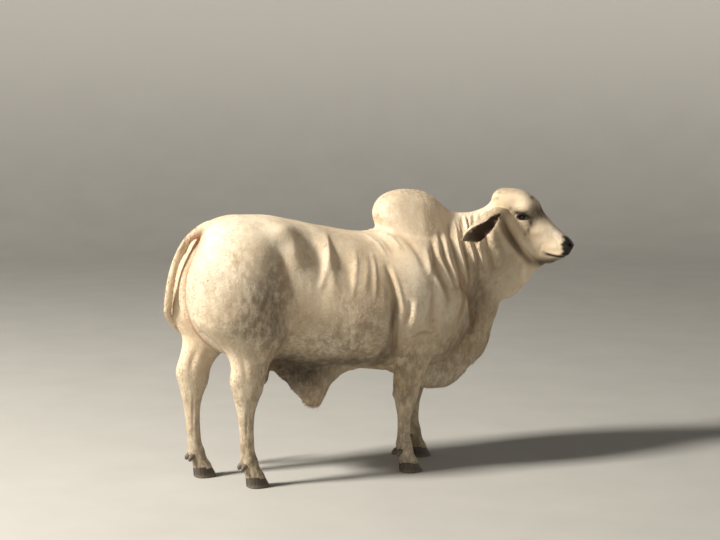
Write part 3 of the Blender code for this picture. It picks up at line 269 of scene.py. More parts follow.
SHEATH = (
    (-0.64, 0.74, -0.65, 0.64, 0.02, 0.5, 2.0, 1.8),
    (-0.56, 0.72, -0.59, 0.585, 0.028, 0.5, 2.0, 1.8),
    (-0.49, 0.71, -0.52, 0.518, 0.034, 0.45, 2.0, 1.9),
    (-0.43, 0.7, -0.455, 0.455, 0.04, 0.4, 2.0, 2.0),
    (-0.37, 0.69, -0.385, 0.385, 0.044, 0.3, 2.0, 2.0),
    (-0.325, 0.68, -0.33, 0.372, 0.042, 0.3, 2.0, 2.0),
    (-0.285, 0.68, -0.285, 0.428, 0.038, 0.4, 2.0, 1.9),
    (-0.23, 0.67, -0.225, 0.512, 0.034, 0.5, 2.0, 1.8),
    (-0.16, 0.66, -0.15, 0.562, 0.03, 0.5, 2.0, 1.8),
    (-0.09, 0.66, -0.08, 0.576, 0.026, 0.5, 2.0, 1.8),
    (-0.01, 0.66, 0.0, 0.59, 0.018, 0.5, 2.0, 1.8),
)

# One row for each level section of a leg: z, middle s, half length, half width, middle y
HIND_LEG = (
    (1.33, -0.81, 0.15, 0.07, 0.14),
    (1.26, -0.825, 0.23, 0.112, 0.155),
    (1.18, -0.832, 0.282, 0.142, 0.166),
    (1.09, -0.837, 0.286, 0.158, 0.172),
    (1.0, -0.838, 0.285, 0.162, 0.177),
    (0.925, -0.836, 0.28, 0.157, 0.181),
    (0.86, -0.834, 0.246, 0.142, 0.184),
    (0.805, -0.838, 0.192, 0.12, 0.187),
    (0.745, -0.858, 0.145, 0.096, 0.19),
    (0.675, -0.886, 0.114, 0.076, 0.193),
    (0.61, -0.905, 0.103, 0.064, 0.195),
    (0.55, -0.908, 0.09, 0.06, 0.195),
    (0.48, -0.915, 0.07, 0.054, 0.193),
    (0.4, -0.918, 0.051, 0.044, 0.192),
    (0.3, -0.914, 0.043, 0.038, 0.19),
    (0.21, -0.908, 0.043, 0.037, 0.188),
    (0.15, -0.899, 0.054, 0.048, 0.187),
    (0.105, -0.882, 0.049, 0.048, 0.186),
    (0.075, -0.867, 0.053, 0.053, 0.185),
    (0.05, -0.86, 0.056, 0.056, 0.185),
    (0.02, -0.85, 0.058, 0.058, 0.185),
)
FORE_LEG = (
    (1.2, 0.24, 0.11, 0.05, 0.19),
    (1.1, 0.245, 0.17, 0.09, 0.2),
    (0.95, 0.245, 0.182, 0.106, 0.21),
    (0.85, 0.243, 0.165, 0.099, 0.212),
    (0.76, 0.24, 0.14, 0.086, 0.209),
    (0.67, 0.236, 0.121, 0.077, 0.205),
    (0.59, 0.225, 0.105, 0.069, 0.2),
    (0.5, 0.212, 0.086, 0.061, 0.194),
    (0.43, 0.206, 0.067, 0.06, 0.191),
    (0.38, 0.203, 0.057, 0.052, 0.19),
    (0.32, 0.199, 0.043, 0.04, 0.188),
    (0.23, 0.196, 0.04, 0.036, 0.187),
    (0.155, 0.199, 0.052, 0.047, 0.186),
    (0.11, 0.21, 0.049, 0.048, 0.186),
    (0.075, 0.222, 0.053, 0.053, 0.185),
    (0.05, 0.23, 0.056, 0.056, 0.185),
    (0.02, 0.24, 0.058, 0.058, 0.185),
)

# The ear from its root to its tip, on the left of the straight head: s, y, z
EAR_LINE = (
    (0.838, 0.07, 1.48),
    (0.804, 0.111, 1.477),
    (0.762, 0.153, 1.452),
    (0.718, 0.193, 1.409),
    (0.672, 0.232, 1.363),
    (0.624, 0.264, 1.318),
)

# Sections of the ear: share of the way, width round it, angles of both rims, thickness
EAR_SHAPE = (
    (0.0, 0.105, -150.0, 75.0, 0.012),
    (0.18, 0.14, -140.0, 72.0, 0.0095),
    (0.4, 0.185, -132.0, 75.0, 0.0075),
    (0.62, 0.212, -125.0, 79.0, 0.0065),
    (0.8, 0.176, -98.0, 78.0, 0.006),
    (0.92, 0.092, -76.0, 55.0, 0.0055),
    (1.0, 0.016, -55.0, 25.0, 0.0045),
)
EAR_BACK = Vector((-0.1, -0.86, 0.5))

# The tail from its root: x, y, z, radius
TAIL = (
    (-0.9, 0.0, 1.43, 0.045),
    (-0.985, 0.0, 1.428, 0.038),
    (-1.062, 0.012, 1.39, 0.033),
    (-1.122, 0.032, 1.312, 0.031),
    (-1.163, 0.064, 1.204, 0.027),
    (-1.176, 0.106, 1.083, 0.022),
    (-1.171, 0.158, 0.97, 0.019),
    (-1.102, 0.266, 0.865, 0.018),
    (-1.012, 0.33, 0.78, 0.017),
    (-0.977, 0.348, 0.69, 0.016),
    (-0.967, 0.352, 0.6, 0.015),
)

# Muscles, bones and hollows on both sides: middle s, y, z, reach along s, y, z, rise
SHAPES = (
    (-0.495, 0.3, 1.31, 0.075, 0.2, 0.1, -0.036),  # hollow of the flank
    (-0.335, 0.33, 1.245, 0.04, 0.2, 0.075, -0.016),  # hollow before the last rib
    (-0.4, 0.33, 1.26, 0.026, 0.2, 0.13, 0.014),  # last rib
    (-0.64, 0.25, 1.415, 0.065, 0.1, 0.05, 0.026),  # hook bone
    (-1.01, 0.13, 1.34, 0.055, 0.07, 0.055, 0.012),  # pin bone
    (-1.13, 0.16, 1.06, 0.09, 0.1, 0.15, 0.016),  # buttock
    (-0.9, 0.3, 1.08, 0.14, 0.2, 0.18, 0.022),  # thigh
    (-0.67, 0.31, 1.08, 0.075, 0.18, 0.22, -0.026),  # hollow before the thigh
    (-0.66, 0.29, 0.83, 0.07, 0.1, 0.08, 0.016),  # stifle
    (0.16, 0.32, 1.18, 0.11, 0.2, 0.18, 0.02),  # shoulder blade
    (0.1, 0.33, 0.93, 0.07, 0.2, 0.09, 0.024),  # upper arm
    (0.44, 0.27, 0.98, 0.07, 0.12, 0.09, 0.022),  # point of the shoulder
    (0.3, 0.3, 1.08, 0.05, 0.2, 0.12, -0.012),  # hollow behind the point of the shoulder
    (-0.025, 0.37, 0.97, 0.032, 0.2, 0.19, -0.024),  # groove behind the arm
    (-1.12, 0.0, 1.08, 0.08, 0.02, 0.22, -0.036),  # cleft between the buttocks
    (0.965, 0.1, 1.492, 0.045, 0.05, 0.03, 0.012),  # brow
    (0.915, 0.105, 1.53, 0.035, 0.06, 0.04, -0.006),  # temple
    (0.925, 0.105, 1.32, 0.055, 0.06, 0.065, 0.012),  # cheek
    (1.02, 0.085, 1.35, 0.06, 0.05, 0.022, 0.006),  # crest of the face
    (1.015, 0.085, 1.425, 0.035, 0.05, 0.03, -0.007),  # hollow before the eye
    (1.19, 0.06, 1.3, 0.03, 0.04, 0.03, 0.006),  # side of the nose
    (1.16, 0.06, 1.22, 0.04, 0.04, 0.018, 0.006),  # upper lip
    (1.085, 0.03, 1.18, 0.03, 0.03, 0.02, 0.004),  # chin
    (0.99, 0.0, 1.2, 0.07, 0.03, 0.04, -0.01),  # between the jaws
)

# Finer shapes of the skin, laid out like those above
FINE_SHAPES = (
    (-0.425, 0.3, 1.245, 0.044, 0.2, 0.11, -0.032),  # depth of the flank's hollow
    (-0.575, 0.3, 1.32, 0.05, 0.2, 0.1, 0.019),  # behind the hollow
    (-0.275, 0.33, 1.19, 0.04, 0.2, 0.1, -0.017),  # hollow before the last rib
    (-0.372, 0.33, 1.24, 0.02, 0.2, 0.13, 0.011),  # last rib
    (-1.06, 0.14, 1.27, 0.06, 0.06, 0.06, 0.009),  # top of the buttock
    (-0.69, 0.3, 1.08, 0.06, 0.2, 0.15, -0.01),  # front of the thigh
    (-1.13, 0.0, 1.1, 0.09, 0.012, 0.23, -0.034),  # cleft between the buttocks
    (0.01, 0.115, 1.415, 0.06, 0.06, 0.035, -0.006),  # behind the foot of the hump
    (0.16, 0.32, 0.76, 0.045, 0.2, 0.05, 0.01),  # elbow
    (-0.9, 0.06, 1.5, 0.09, 0.05, 0.05, 0.006),  # rump beside the spine
    (-0.96, 0.03, 1.44, 0.05, 0.05, 0.04, 0.01),  # root of the tail
    (0.76, 0.05, 1.56, 0.022, 0.03, 0.02, 0.007),  # scurred place of a horn
    (1.2, 0.0, 1.235, 0.04, 0.012, 0.04, -0.0025),  # furrow of the upper lip
    (1.105, 0.0, 1.172, 0.035, 0.03, 0.012, 0.004),  # chin
    (1.12, 0.07, 1.262, 0.04, 0.03, 0.016, 0.003),  # side of the upper lip
    (0.93, 0.095, 1.255, 0.03, 0.05, 0.03, 0.006),  # corner of the jaw
    (0.865, 0.11, 1.5, 0.022, 0.04, 0.022, -0.004),  # behind the eye
    (1.045, 0.0, 1.47, 0.05, 0.03, 0.035, 0.004),  # bridge of the nose
    (1.02, 0.0, 1.515, 0.038, 0.07, 0.036, 0.014),  # swell of the forehead
    (1.105, 0.0, 1.425, 0.05, 0.06, 0.035, 0.005),  # bridge of the nose, lower down
    (0.952, 0.112, 1.473, 0.036, 0.04, 0.0115, 0.0105),  # overhanging brow
    (0.996, 0.092, 1.452, 0.014, 0.04, 0.018, -0.006),  # before the eye, under the brow
    (0.904, 0.112, 1.44, 0.012, 0.04, 0.02, -0.0035),  # behind the eye
    (0.946, 0.11, 1.404, 0.04, 0.04, 0.012, 0.003),  # under the lower lid
    (1.04, 0.078, 1.395, 0.055, 0.03, 0.022, -0.004),  # side of the nose's bridge
    (1.15, 0.06, 1.335, 0.03, 0.03, 0.02, 0.003),  # wing of the nose
    (0.905, 0.098, 1.205, 0.06, 0.04, 0.02, 0.006),  # edge of the jaw
)

# Shapes of the lower legs, laid out alike, before the legs take their stance
HIND_LEG_SHAPES = (
    (-0.992, 0.193, 0.59, 0.028, 0.05, 0.04, 0.009),  # point of the hock
    (-0.94, 0.25, 0.68, 0.02, 0.04, 0.075, -0.009),  # hollow before the sinew, outside
    (-0.94, 0.135, 0.68, 0.02, 0.04, 0.075, -0.009),  # and inside
    (-0.845, 0.193, 0.54, 0.03, 0.05, 0.04, 0.006),  # front of the hock
    (-0.905, 0.245, 0.515, 0.028, 0.03, 0.026, 0.005),  # side of the hock
    (-0.927, 0.232, 0.36, 0.006, 0.03, 0.11, -0.004),  # groove of the sinew, outside
    (-0.927, 0.15, 0.36, 0.006, 0.03, 0.11, -0.004),  # and inside
    (-0.905, 0.235, 0.16, 0.02, 0.03, 0.022, 0.004),  # fetlock
)
FORE_LEG_SHAPES = (
    (0.262, 0.191, 0.44, 0.026, 0.05, 0.03, 0.006),  # front of the knee
    (0.14, 0.191, 0.45, 0.022, 0.03, 0.024, 0.011),  # back of the knee
    (0.205, 0.25, 0.425, 0.026, 0.03, 0.026, 0.004),  # side of the knee
    (0.183, 0.228, 0.3, 0.006, 0.03, 0.09, -0.004),  # groove of the sinew, outside
    (0.183, 0.148, 0.3, 0.006, 0.03, 0.09, -0.004),  # and inside
    (0.19, 0.265, 0.61, 0.012, 0.04, 0.08, -0.005),  # between the muscles of the forearm
    (0.2, 0.235, 0.16, 0.02, 0.03, 0.022, 0.004),  # fetlock
)

# Folds and creases seen from the side: share on the left side, width, rise, line of (s, z)
FOLDS = (
    (0.5, 0.02, 0.017, ((0.232, 1.3), (0.225, 1.18), (0.271, 1.088), (0.302, 0.996), (0.31, 0.93))),
    (0.4, 0.016, -0.014, ((0.29, 1.33), (0.268, 1.2), (0.3, 1.11), (0.335, 1.02), (0.34, 0.95))),
    (0.4, 0.016, 0.013,
     ((0.338, 1.36), (0.31, 1.247), (0.332, 1.165), (0.364, 1.082), (0.374, 1.03))),
    (0.3, 0.013, -0.011,
     ((0.365, 1.37), (0.342, 1.24), (0.362, 1.155), (0.385, 1.08), (0.392, 1.03))),
    (0.4, 0.014, 0.012, ((0.396, 1.36), (0.372, 1.231), (0.392, 1.143), (0.41, 1.07))),
    (0.3, 0.015, -0.012, ((0.45, 1.42), (0.425, 1.29), (0.432, 1.19), (0.444, 1.11), (0.45, 1.04))),
    (0.5, 0.014, 0.017,
     ((0.505, 1.43), (0.472, 1.267), (0.478, 1.186), (0.494, 1.109), (0.505, 1.06))),
    (0.3, 0.014, -0.015, ((0.548, 1.44), (0.522, 1.29), (0.53, 1.21), (0.545, 1.13), (0.56, 1.06))),
    (0.4, 0.013, 0.014, ((0.585, 1.45), (0.57, 1.307), (0.592, 1.23), (0.606, 1.15), (0.612, 1.1))),
    (0.3, 0.015, -0.014,
     ((0.628, 1.44), (0.615, 1.32), (0.636, 1.23), (0.655, 1.15), (0.66, 1.08))),
    (0.4, 0.015, 0.017,
     ((0.662, 1.4), (0.664, 1.29), (0.678, 1.209), (0.722, 1.112), (0.73, 1.06))),
    (0.3, 0.018, -0.018, ((0.715, 1.4), (0.725, 1.3), (0.752, 1.21), (0.768, 1.14), (0.745, 1.06))),
    (0.4, 0.022, 0.02,
     ((0.765, 1.39), (0.803, 1.29), (0.826, 1.217), (0.803, 1.129), (0.768, 1.04))),
    (0.8, 0.018, -0.03, ((0.825, 1.42), (0.858, 1.36), (0.9, 1.295), (0.945, 1.232), (0.968, 1.2))),
    (0.8, 0.013, 0.012,
     ((0.853, 1.429), (0.886, 1.374), (0.929, 1.314), (0.973, 1.249), (0.995, 1.216))),
    (0.3, 0.007, 0.006, ((0.536, 1.45), (0.522, 1.33), (0.53, 1.25))),
    (0.3, 0.007, 0.006, ((0.618, 1.45), (0.606, 1.36), (0.61, 1.28))),
    (0.3, 0.007, 0.006, ((0.7, 1.45), (0.7, 1.36), (0.712, 1.29))),
    (0.3, 0.007, -0.011, ((0.575, 1.47), (0.56, 1.41), (0.556, 1.35))),
    (0.3, 0.007, -0.011, ((0.612, 1.475), (0.6, 1.42), (0.596, 1.36))),
    (0.3, 0.007, -0.011, ((0.65, 1.485), (0.64, 1.43), (0.634, 1.37))),
    (0.3, 0.007, -0.011, ((0.69, 1.495), (0.682, 1.44), (0.676, 1.39))),
    (0.3, 0.007, -0.01, ((0.728, 1.51), (0.722, 1.46), (0.718, 1.42))),
    (0.6, 0.03, -0.03,
     ((0.445, 1.15), (0.47, 1.09), (0.519, 1.02), (0.575, 0.938), (0.625, 0.83), (0.62, 0.75))),
    (0.6, 0.02, -0.014, ((0.44, 1.1), (0.452, 1.02), (0.44, 0.93), (0.42, 0.85))),
    (0.6, 0.026, -0.011, ((0.595, 1.167), (0.684, 1.022), (0.715, 0.885), (0.705, 0.751))),
    (0.7, 0.018, -0.011, ((0.262, 1.23), (0.222, 1.067), (0.226, 0.9), (0.256, 0.805))),
    (0.7, 0.014, -0.01, ((-0.04, 1.21), (-0.014, 1.047), (0.006, 0.94))),
    (0.7, 0.013, 0.007, ((-0.008, 1.21), (0.02, 1.05), (0.036, 0.93))),
    (0.8, 0.024, 0.013, ((0.115, 1.02), (0.1, 0.93), (0.09, 0.86), (0.11, 0.8))),
    (0.8, 0.015, -0.013, ((0.078, 1.01), (0.062, 0.94), (0.05, 0.87))),
    (0.8, 0.009, -0.009,
     ((0.09, 0.8), (0.13, 0.812), (0.17, 0.822), (0.223, 0.818), (0.25, 0.805))),
    (0.8, 0.014, -0.022, ((-0.022, 1.03), (-0.01, 0.89), (0.006, 0.759), (0.045, 0.65))),
    (0.8, 0.014, 0.006, ((-0.205, 1.3), (-0.235, 1.18), (-0.272, 1.04))),
    (0.8, 0.016, 0.003, ((-0.14, 1.27), (-0.175, 1.15), (-0.205, 1.06))),
    (0.8, 0.013, 0.005, ((-0.1, 1.28), (-0.118, 1.16), (-0.14, 1.02))),
    (0.8, 0.018, 0.013,
     ((-0.345, 1.39), (-0.366, 1.33), (-0.386, 1.25), (-0.415, 1.17), (-0.45, 1.09))),
    (0.8, 0.02, -0.008, ((0.06, 1.41), (0.125, 1.35), (0.17, 1.26), (0.19, 1.18))),
    (0.8, 0.012, 0.005, ((0.01, 1.4), (0.06, 1.35), (0.085, 1.27))),
    (0.8, 0.012, -0.004, ((-0.03, 1.38), (0.01, 1.33), (0.03, 1.25))),
    (0.8, 0.012, 0.005, ((-0.07, 1.37), (-0.035, 1.32), (-0.02, 1.25))),
    (0.9, 0.02, -0.01, ((-0.71, 1.33), (-0.66, 1.25), (-0.64, 1.15), (-0.61, 1.04))),
    (0.9, 0.018, -0.008, ((-0.56, 0.94), (-0.59, 0.86), (-0.64, 0.79), (-0.69, 0.74))),
)

# Creases of the face, alike on both sides: width, rise, line of (s, z)
FACE_LINES = (
    (0.0036, -0.005, MOUTH_LINE),
    (0.01, 0.0024, ((1.225, 1.243), (1.2, 1.226), (1.155, 1.226), (1.105, 1.236), (1.066, 1.252))),
    (0.009, 0.002, ((1.215, 1.198), (1.155, 1.198), (1.105, 1.208), (1.066, 1.224))),
    (0.006, -0.0022, ((1.06, 1.262), (1.048, 1.242), (1.05, 1.218))),
    (0.006, -0.0014, ((1.072, 1.29), (1.05, 1.262), (1.036, 1.232))),
    (0.0045, -0.0026, ((0.964, 1.434), (0.985, 1.424), (1.004, 1.404))),
    (0.007, 0.002, ((0.915, 1.466), (0.944, 1.476), (0.975, 1.466), (0.992, 1.448))),
    (0.0045, -0.0018, ((0.905, 1.482), (0.94, 1.496), (0.978, 1.488))),
    (0.0045, -0.0014, ((0.915, 1.412), (0.942, 1.402), (0.972, 1.408))),
    (0.005, -0.0012, ((0.922, 1.392), (0.95, 1.382), (0.98, 1.386))),
    (0.008, -0.003, ((1.18, 1.322), (1.19, 1.304), (1.205, 1.296))),
    (0.006, 0.002, ((1.176, 1.308), (1.192, 1.286), (1.215, 1.262), (1.236, 1.252))),
    (0.006, -0.0016, ((1.12, 1.33), (1.15, 1.3), (1.16, 1.26))),
)

# The shade behind the jaw, as (s, z)
JAW_SHADE = (
    (0.828, 1.45),
    (0.85, 1.385),
    (0.885, 1.32),
    (0.925, 1.255),
    (0.965, 1.2),
    (1.0, 1.165),
)
JAW_SHADE_WIDTH = 0.021

# Markings by name: share on the left side, middle s, y, z, reach along s, y, z, strength
MARKS = {
    # Painted light: lighter hair on the lit throat, shoulder, hump, nose, jaw, neck and rump
    "pale": (
        (1.0, 0.955, 0.0, 1.1, 0.014, 0.2, 0.045, 1.0),
        (0.9, 0.13, 0.33, 1.05, 0.11, 0.2, 0.2, 0.95),
        (1.0, 0.56, 0.08, 1.49, 0.13, 0.16, 0.1, 0.95),
        (1.0, 0.42, 0.06, 1.56, 0.16, 0.16, 0.07, 0.9),
        (1.0, 1.12, 0.04, 1.37, 0.07, 0.09, 0.06, 0.95),
        (1.0, 0.97, 0.1, 1.25, 0.08, 0.1, 0.05, 0.6),
        (0.9, 0.68, 0.15, 1.28, 0.14, 0.2, 0.15, 0.55),
        (0.9, -1.0, 0.12, 1.38, 0.12, 0.2, 0.1, 0.8),
    ),
    # Painted shade under the body, on throat and neck; and a dark mark on the nose's bridge
    "brown": (
        (1.0, -0.62, 0.05, 0.67, 0.12, 0.24, 0.075, 1.0),
        (1.0, -0.55, 0.0, 0.6, 0.19, 0.22, 0.12, 1.0),
        (1.0, -0.4, 0.0, 0.6, 0.15, 0.22, 0.1, 0.95),
        (1.0, -0.18, 0.1, 0.67, 0.25, 0.28, 0.055, 0.95),
        (1.0, 0.01, 0.18, 0.71, 0.06, 0.25, 0.09, 0.9),
        (1.0, -0.004, 0.3, 0.9, 0.02, 0.2, 0.15, 0.7),
        (1.0, 1.046, 0.05, 1.47, 0.04, 0.09, 0.036, 0.55),
        (0.9, 0.85, 0.1, 1.18, 0.07, 0.2, 0.13, 0.35),
        (0.9, 0.68, 0.1, 1.0, 0.12, 0.2, 0.17, 0.4),
        (0.9, 0.5, 0.1, 0.8, 0.17, 0.25, 0.17, 0.45),
        (0.6, -0.7, 0.25, 0.86, 0.07, 0.2, 0.11, 0.45),
    ),
    # Dark face marks; painted shadow over the eyes, under the chin and tail and in the cleft and
    # crotch
    "soot": (
        (1.0, 1.04, 0.06, 1.47, 0.046, 0.08, 0.036, 0.45),
        (1.0, 0.922, 0.112, 1.47, 0.028, 0.05, 0.018, 1.0),
        (1.0, 0.956, 0.112, 1.468, 0.028, 0.05, 0.02, 1.0),
        (1.0, 0.985, 0.105, 1.441, 0.02, 0.05, 0.018, 1.0),
        (1.0, 0.998, 0.098, 1.408, 0.013, 0.05, 0.03, 0.95),
        (1.0, 0.984, 0.1, 1.366, 0.011, 0.05, 0.026, 0.8),
        (1.0, 0.965, 0.103, 1.345, 0.01, 0.05, 0.02, 0.55),
        (1.0, 0.88, 0.113, 1.49, 0.016, 0.04, 0.014, 0.6),
        (1.0, 0.798, 0.062, 1.545, 0.015, 0.04, 0.01, 0.7),
        (1.0, 1.0, 0.03, 1.552, 0.016, 0.06, 0.009, 0.5),
        (1.0, 1.11, 0.0, 1.186, 0.08, 0.11, 0.026, 1.0),
        (1.0, 1.05, 0.0, 1.17, 0.05, 0.11, 0.026, 0.8),
        (1.0, -1.06, 0.0, 1.31, 0.04, 0.014, 0.05, 0.45),
        (1.0, -1.06, 0.0, 0.89, 0.07, 0.016, 0.08, 0.75),
        (1.0, -0.96, 0.0, 0.78, 0.09, 0.024, 0.05, 0.75),
        (1.0, -1.13, 0.0, 1.12, 0.07, 0.016, 0.22, 0.85),
    ),
    "smoke": (
        (1.0, 1.05, 0.05, 1.478, 0.054, 0.09, 0.048, 1.0),
        (1.0, 1.006, 0.08, 1.43, 0.028, 0.06, 0.044, 1.0),
        (1.0, 0.992, 0.05, 1.54, 0.03, 0.06, 0.026, 0.7),
        (1.0, 0.868, 0.11, 1.476, 0.032, 0.05, 0.034, 0.5),
        (1.0, 0.945, 0.11, 1.39, 0.034, 0.05, 0.034, 0.55),
    ),
    # Dust, and painted shade on the thigh's front, in the flank's hollows and low on body and neck
    "dust": (
        (0.7, -0.86, 0.34, 1.02, 0.13, 0.2, 0.15, 0.6),
        (0.7, -0.68, 0.29, 1.05, 0.11, 0.2, 0.18, 0.85),
        (0.8, -0.78, 0.3, 0.8, 0.12, 0.3, 0.12, 0.75),
        (0.8, -0.3, 0.33, 0.8, 0.32, 0.3, 0.14, 0.65),
        (0.8, 0.15, 0.3, 0.62, 0.12, 0.3, 0.14, 0.6),
        (0.8, -0.15, 0.34, 1.0, 0.15, 0.2, 0.12, 0.4),
        (0.8, 0.6, 0.1, 0.85, 0.18, 0.2, 0.26, 0.6),
        (0.6, -0.48, 0.3, 1.27, 0.06, 0.2, 0.13, 0.45),
        (0.8, -1.0, 0.22, 1.02, 0.14, 0.2, 0.18, 0.62),
        (0.8, -0.9, 0.2, 1.32, 0.15, 0.2, 0.1, 0.3),
        (0.8, -0.45, 0.15, 1.38, 0.25, 0.25, 0.08, 0.3),
        (0.6, -0.9, 0.3, 1.2, 0.12, 0.2, 0.13, 0.5),
        (0.8, -0.2, 0.33, 0.9, 0.2, 0.2, 0.12, 0.6),
        (0.7, -0.33, 0.33, 1.08, 0.09, 0.2, 0.12, 0.55),
        (0.8, 0.48, 0.06, 0.74, 0.12, 0.2, 0.12, 0.7),
    ),
    # Mud on legs and thigh, and painted shade before the thigh and on the lower neck
    "mud": (
        (0.6, -0.7, 0.3, 1.1, 0.08, 0.2, 0.13, 0.45),
        (0.6, -0.846, 0.26, 0.66, 0.05, 0.1, 0.05, 0.6),
        (0.6, -0.8, 0.25, 0.575, 0.05, 0.1, 0.05, 0.7),
        (0.8, -0.87, 0.23, 0.5, 0.06, 0.2, 0.06, 0.75),
        (0.6, -0.85, 0.33, 0.89, 0.06, 0.1, 0.05, 0.5),
        (0.6, -1.0, 0.31, 0.95, 0.04, 0.1, 0.04, 0.4),
        (0.8, 0.17, 0.24, 0.45, 0.06, 0.2, 0.06, 0.55),
        (0.9, 0.6, 0.15, 1.05, 0.08, 0.2, 0.16, 0.6),
        (0.7, -0.78, 0.3, 0.98, 0.11, 0.2, 0.15, 0.75),
        (0.7, -0.93, 0.32, 0.92, 0.08, 0.2, 0.09, 0.55),
        (0.6, -0.7, 0.28, 1.22, 0.05, 0.2, 0.07, 0.55),
    ),
    "rose": (
        (1.0, -1.03, 0.0, 1.345, 0.075, 0.065, 0.065, 1.0),
        (1.0, -1.1, 0.0, 1.18, 0.06, 0.032, 0.13, 0.95),
        (1.0, -1.12, 0.0, 1.0, 0.06, 0.032, 0.13, 0.9),
        (1.0, -1.02, 0.03, 0.86, 0.09, 0.06, 0.1, 0.65),
        (1.0, -0.7, 0.0, 0.62, 0.12, 0.09, 0.12, 0.55),
        (1.0, -0.01, 0.08, 1.43, 0.09, 0.12, 0.03, 0.75),
        (1.0, -0.36, 0.0, 0.45, 0.08, 0.06, 0.09, 0.35),
    ),
}

# Colours of the hide, with tints of painted light and shade
CREAM = (0.7, 0.555, 0.385)
PALE = (0.84, 0.745, 0.6)
TAN = (0.46, 0.315, 0.19)
# Painted olive shade of the lower body
UNDER_SHADE_TINT = (0.25, 0.21, 0.14)
WHITE = (1.0, 1.0, 1.0)
# Painted light on the hair
SUNLIT_HAIR = (0.95, 0.87, 0.73)
# Painted brown shade, also a dark mark of the face
BROWN_SHADE_AND_MARK_TINT = (0.06, 0.042, 0.022)
SMOKE = (0.15, 0.105, 0.085)
# Black-brown of face marks and of painted shadow
BLACK_MARK_AND_SHADE = (0.038, 0.025, 0.018)
# Dust, also painted shade
DUST_AND_SHADE_TINT = (0.23, 0.155, 0.085)
# Mud, also painted shade
MUD_AND_SHADE_TINT = (0.115, 0.08, 0.05)
ROSE = (0.5, 0.215, 0.125)
BLACK_SKIN = (0.012, 0.01, 0.009)
EAR_DARK = (0.085, 0.05, 0.034)

# Longer hair: name, roots for each square metre, length, width, lift, droop, stations, seed
FRINGES = (
    ("hump_crest", 9000.0, 0.018, 0.0009, 0.0014, 0.1, 4, 21),
    ("dewlap_edge", 2200.0, 0.02, 0.0017, 0.003, 0.35, 4, 22),
    ("belly_line", 2200.0, 0.016, 0.0012, 0.0024, 0.3, 4, 23),
    ("poll", 14000.0, 0.018, 0.0008, 0.002, 0.1, 4, 24),
    ("ear_outside", 12000.0, 0.016, 0.0009, 0.003, 0.2, 3, 25),
    ("ear_inside", 9000.0, 0.024, 0.0009, 0.006, 0.25, 4, 26),
    ("pastern", 5200.0, 0.02, 0.0013, 0.003, 0.2, 4, 27),
    ("tail_hair", 5200.0, 0.024, 0.0015, 0.0032, 0.25, 4, 28),
    ("sheath_end", 12000.0, 0.022, 0.0011, 0.003, 0.5, 4, 29),
    ("chin", 5200.0, 0.014, 0.0008, 0.003, 0.2, 3, 30),
)

# Masks that the tufts read, and those of places without hair
TUFT_MASKS = (
    "pale",
    "brown",
    "soot",
    "smoke",
    "dust",
    "mud",
    "rose",
    "sunk",
    "under",
    "down",
    "inner",
)
BARE_MASKS = ("pad", "lid", "hole")

# Nodes of the solids that the one skin stands for
FLESH = ["head", "neck", "torso", "hump", "dewlap", "sheath", "scrotum", "tail"]
FLESH += [f"ear_{side}" for side in SIDE_SIGN]
FLESH += [f"{leg}_leg_{side}" for leg in STANCE for side in SIDE_SIGN]


def ease(value):
    """0 to 1, with a level start and end."""
    value = np.clip(value, 0.0, 1.0)
    return value * value * (3 - 2 * value)


def steady_curve(knots, values, at):
    """Smooth curve through the values that never overshoots them, read at the places in at."""
    knots, values = np.asarray(knots, float), np.asarray(values, float)
    step = np.diff(knots)
    slope = np.diff(values) / step
    tangent = np.zeros(len(knots))
    rising = slope[:-1] * slope[1:] > 0
    weight_a, weight_b = 2 * step[1:] + step[:-1], step[1:] + 2 * step[:-1]
    inner = np.zeros(len(slope) - 1)
    inner[rising] = (weight_a + weight_b)[rising] / (
        weight_a[rising] / slope[:-1][rising] + weight_b[rising] / slope[1:][rising]
    )
    tangent[1:-1] = inner
    tangent[0], tangent[-1] = slope[0], slope[-1]
    i = np.clip(np.searchsorted(knots, at) - 1, 0, len(step) - 1)
    t = (at - knots[i]) / step[i]
    return (
        values[i] * (2 * t**3 - 3 * t**2 + 1)
        + tangent[i] * step[i] * (t**3 - 2 * t**2 + t)
        + values[i + 1] * (-2 * t**3 + 3 * t**2)
        + tangent[i + 1] * step[i] * (t**3 - t**2)
    )


def read_rows(rows, at):
    """The rows of a table at the places in at, counted in rows, by smooth curves."""
    rows = np.asarray(rows, float)
    knots = np.arange(len(rows), dtype=float)
    return np.stack([steady_curve(knots, column, at) for column in rows.T], axis=1)


def fill_rows(rows, count):
    """The rows of a section table, made count rows by smooth curves."""
    return read_rows(rows, np.linspace(0, len(rows) - 1, count))


def tail_row(share):
    """The place and radius of the tail at a share of its length."""
    return read_rows(TAIL, np.array([share * (len(TAIL) - 1)]))[0].tolist()


def linked(name, data):
    """A new object of the scene."""
    obj = bpy.data.objects.new(name, data)
    bpy.context.scene.collection.objects.link(obj)
    return obj


@contextmanager
def edited(mesh):
    """The mesh as it is edited. It takes the changes on at the end."""
    shape = bmesh.new()
    shape.from_mesh(mesh)
    yield shape
    shape.to_mesh(mesh)
    shape.free()


def column(items, key, width=1, kind=float):
    """One value of every item as an array, with its parts side by side."""
    values = np.empty(len(items) * width, kind)
    items.foreach_get(key, values)
    return values.reshape(-1, width) if width > 1 else values


def points_of(mesh):
    """The mesh's points as an array."""
    return column(mesh.vertices, "co", 3)


def set_points(mesh, points):
    """Moves the mesh's points."""
    mesh.vertices.foreach_set("co", points.ravel())
    mesh.update()


def lift(mesh, rise):
    """Raises the mesh's points along their normals."""
    normals = column(mesh.vertex_normals, "vector", 3)
    set_points(mesh, points_of(mesh) + normals * rise[:, None])


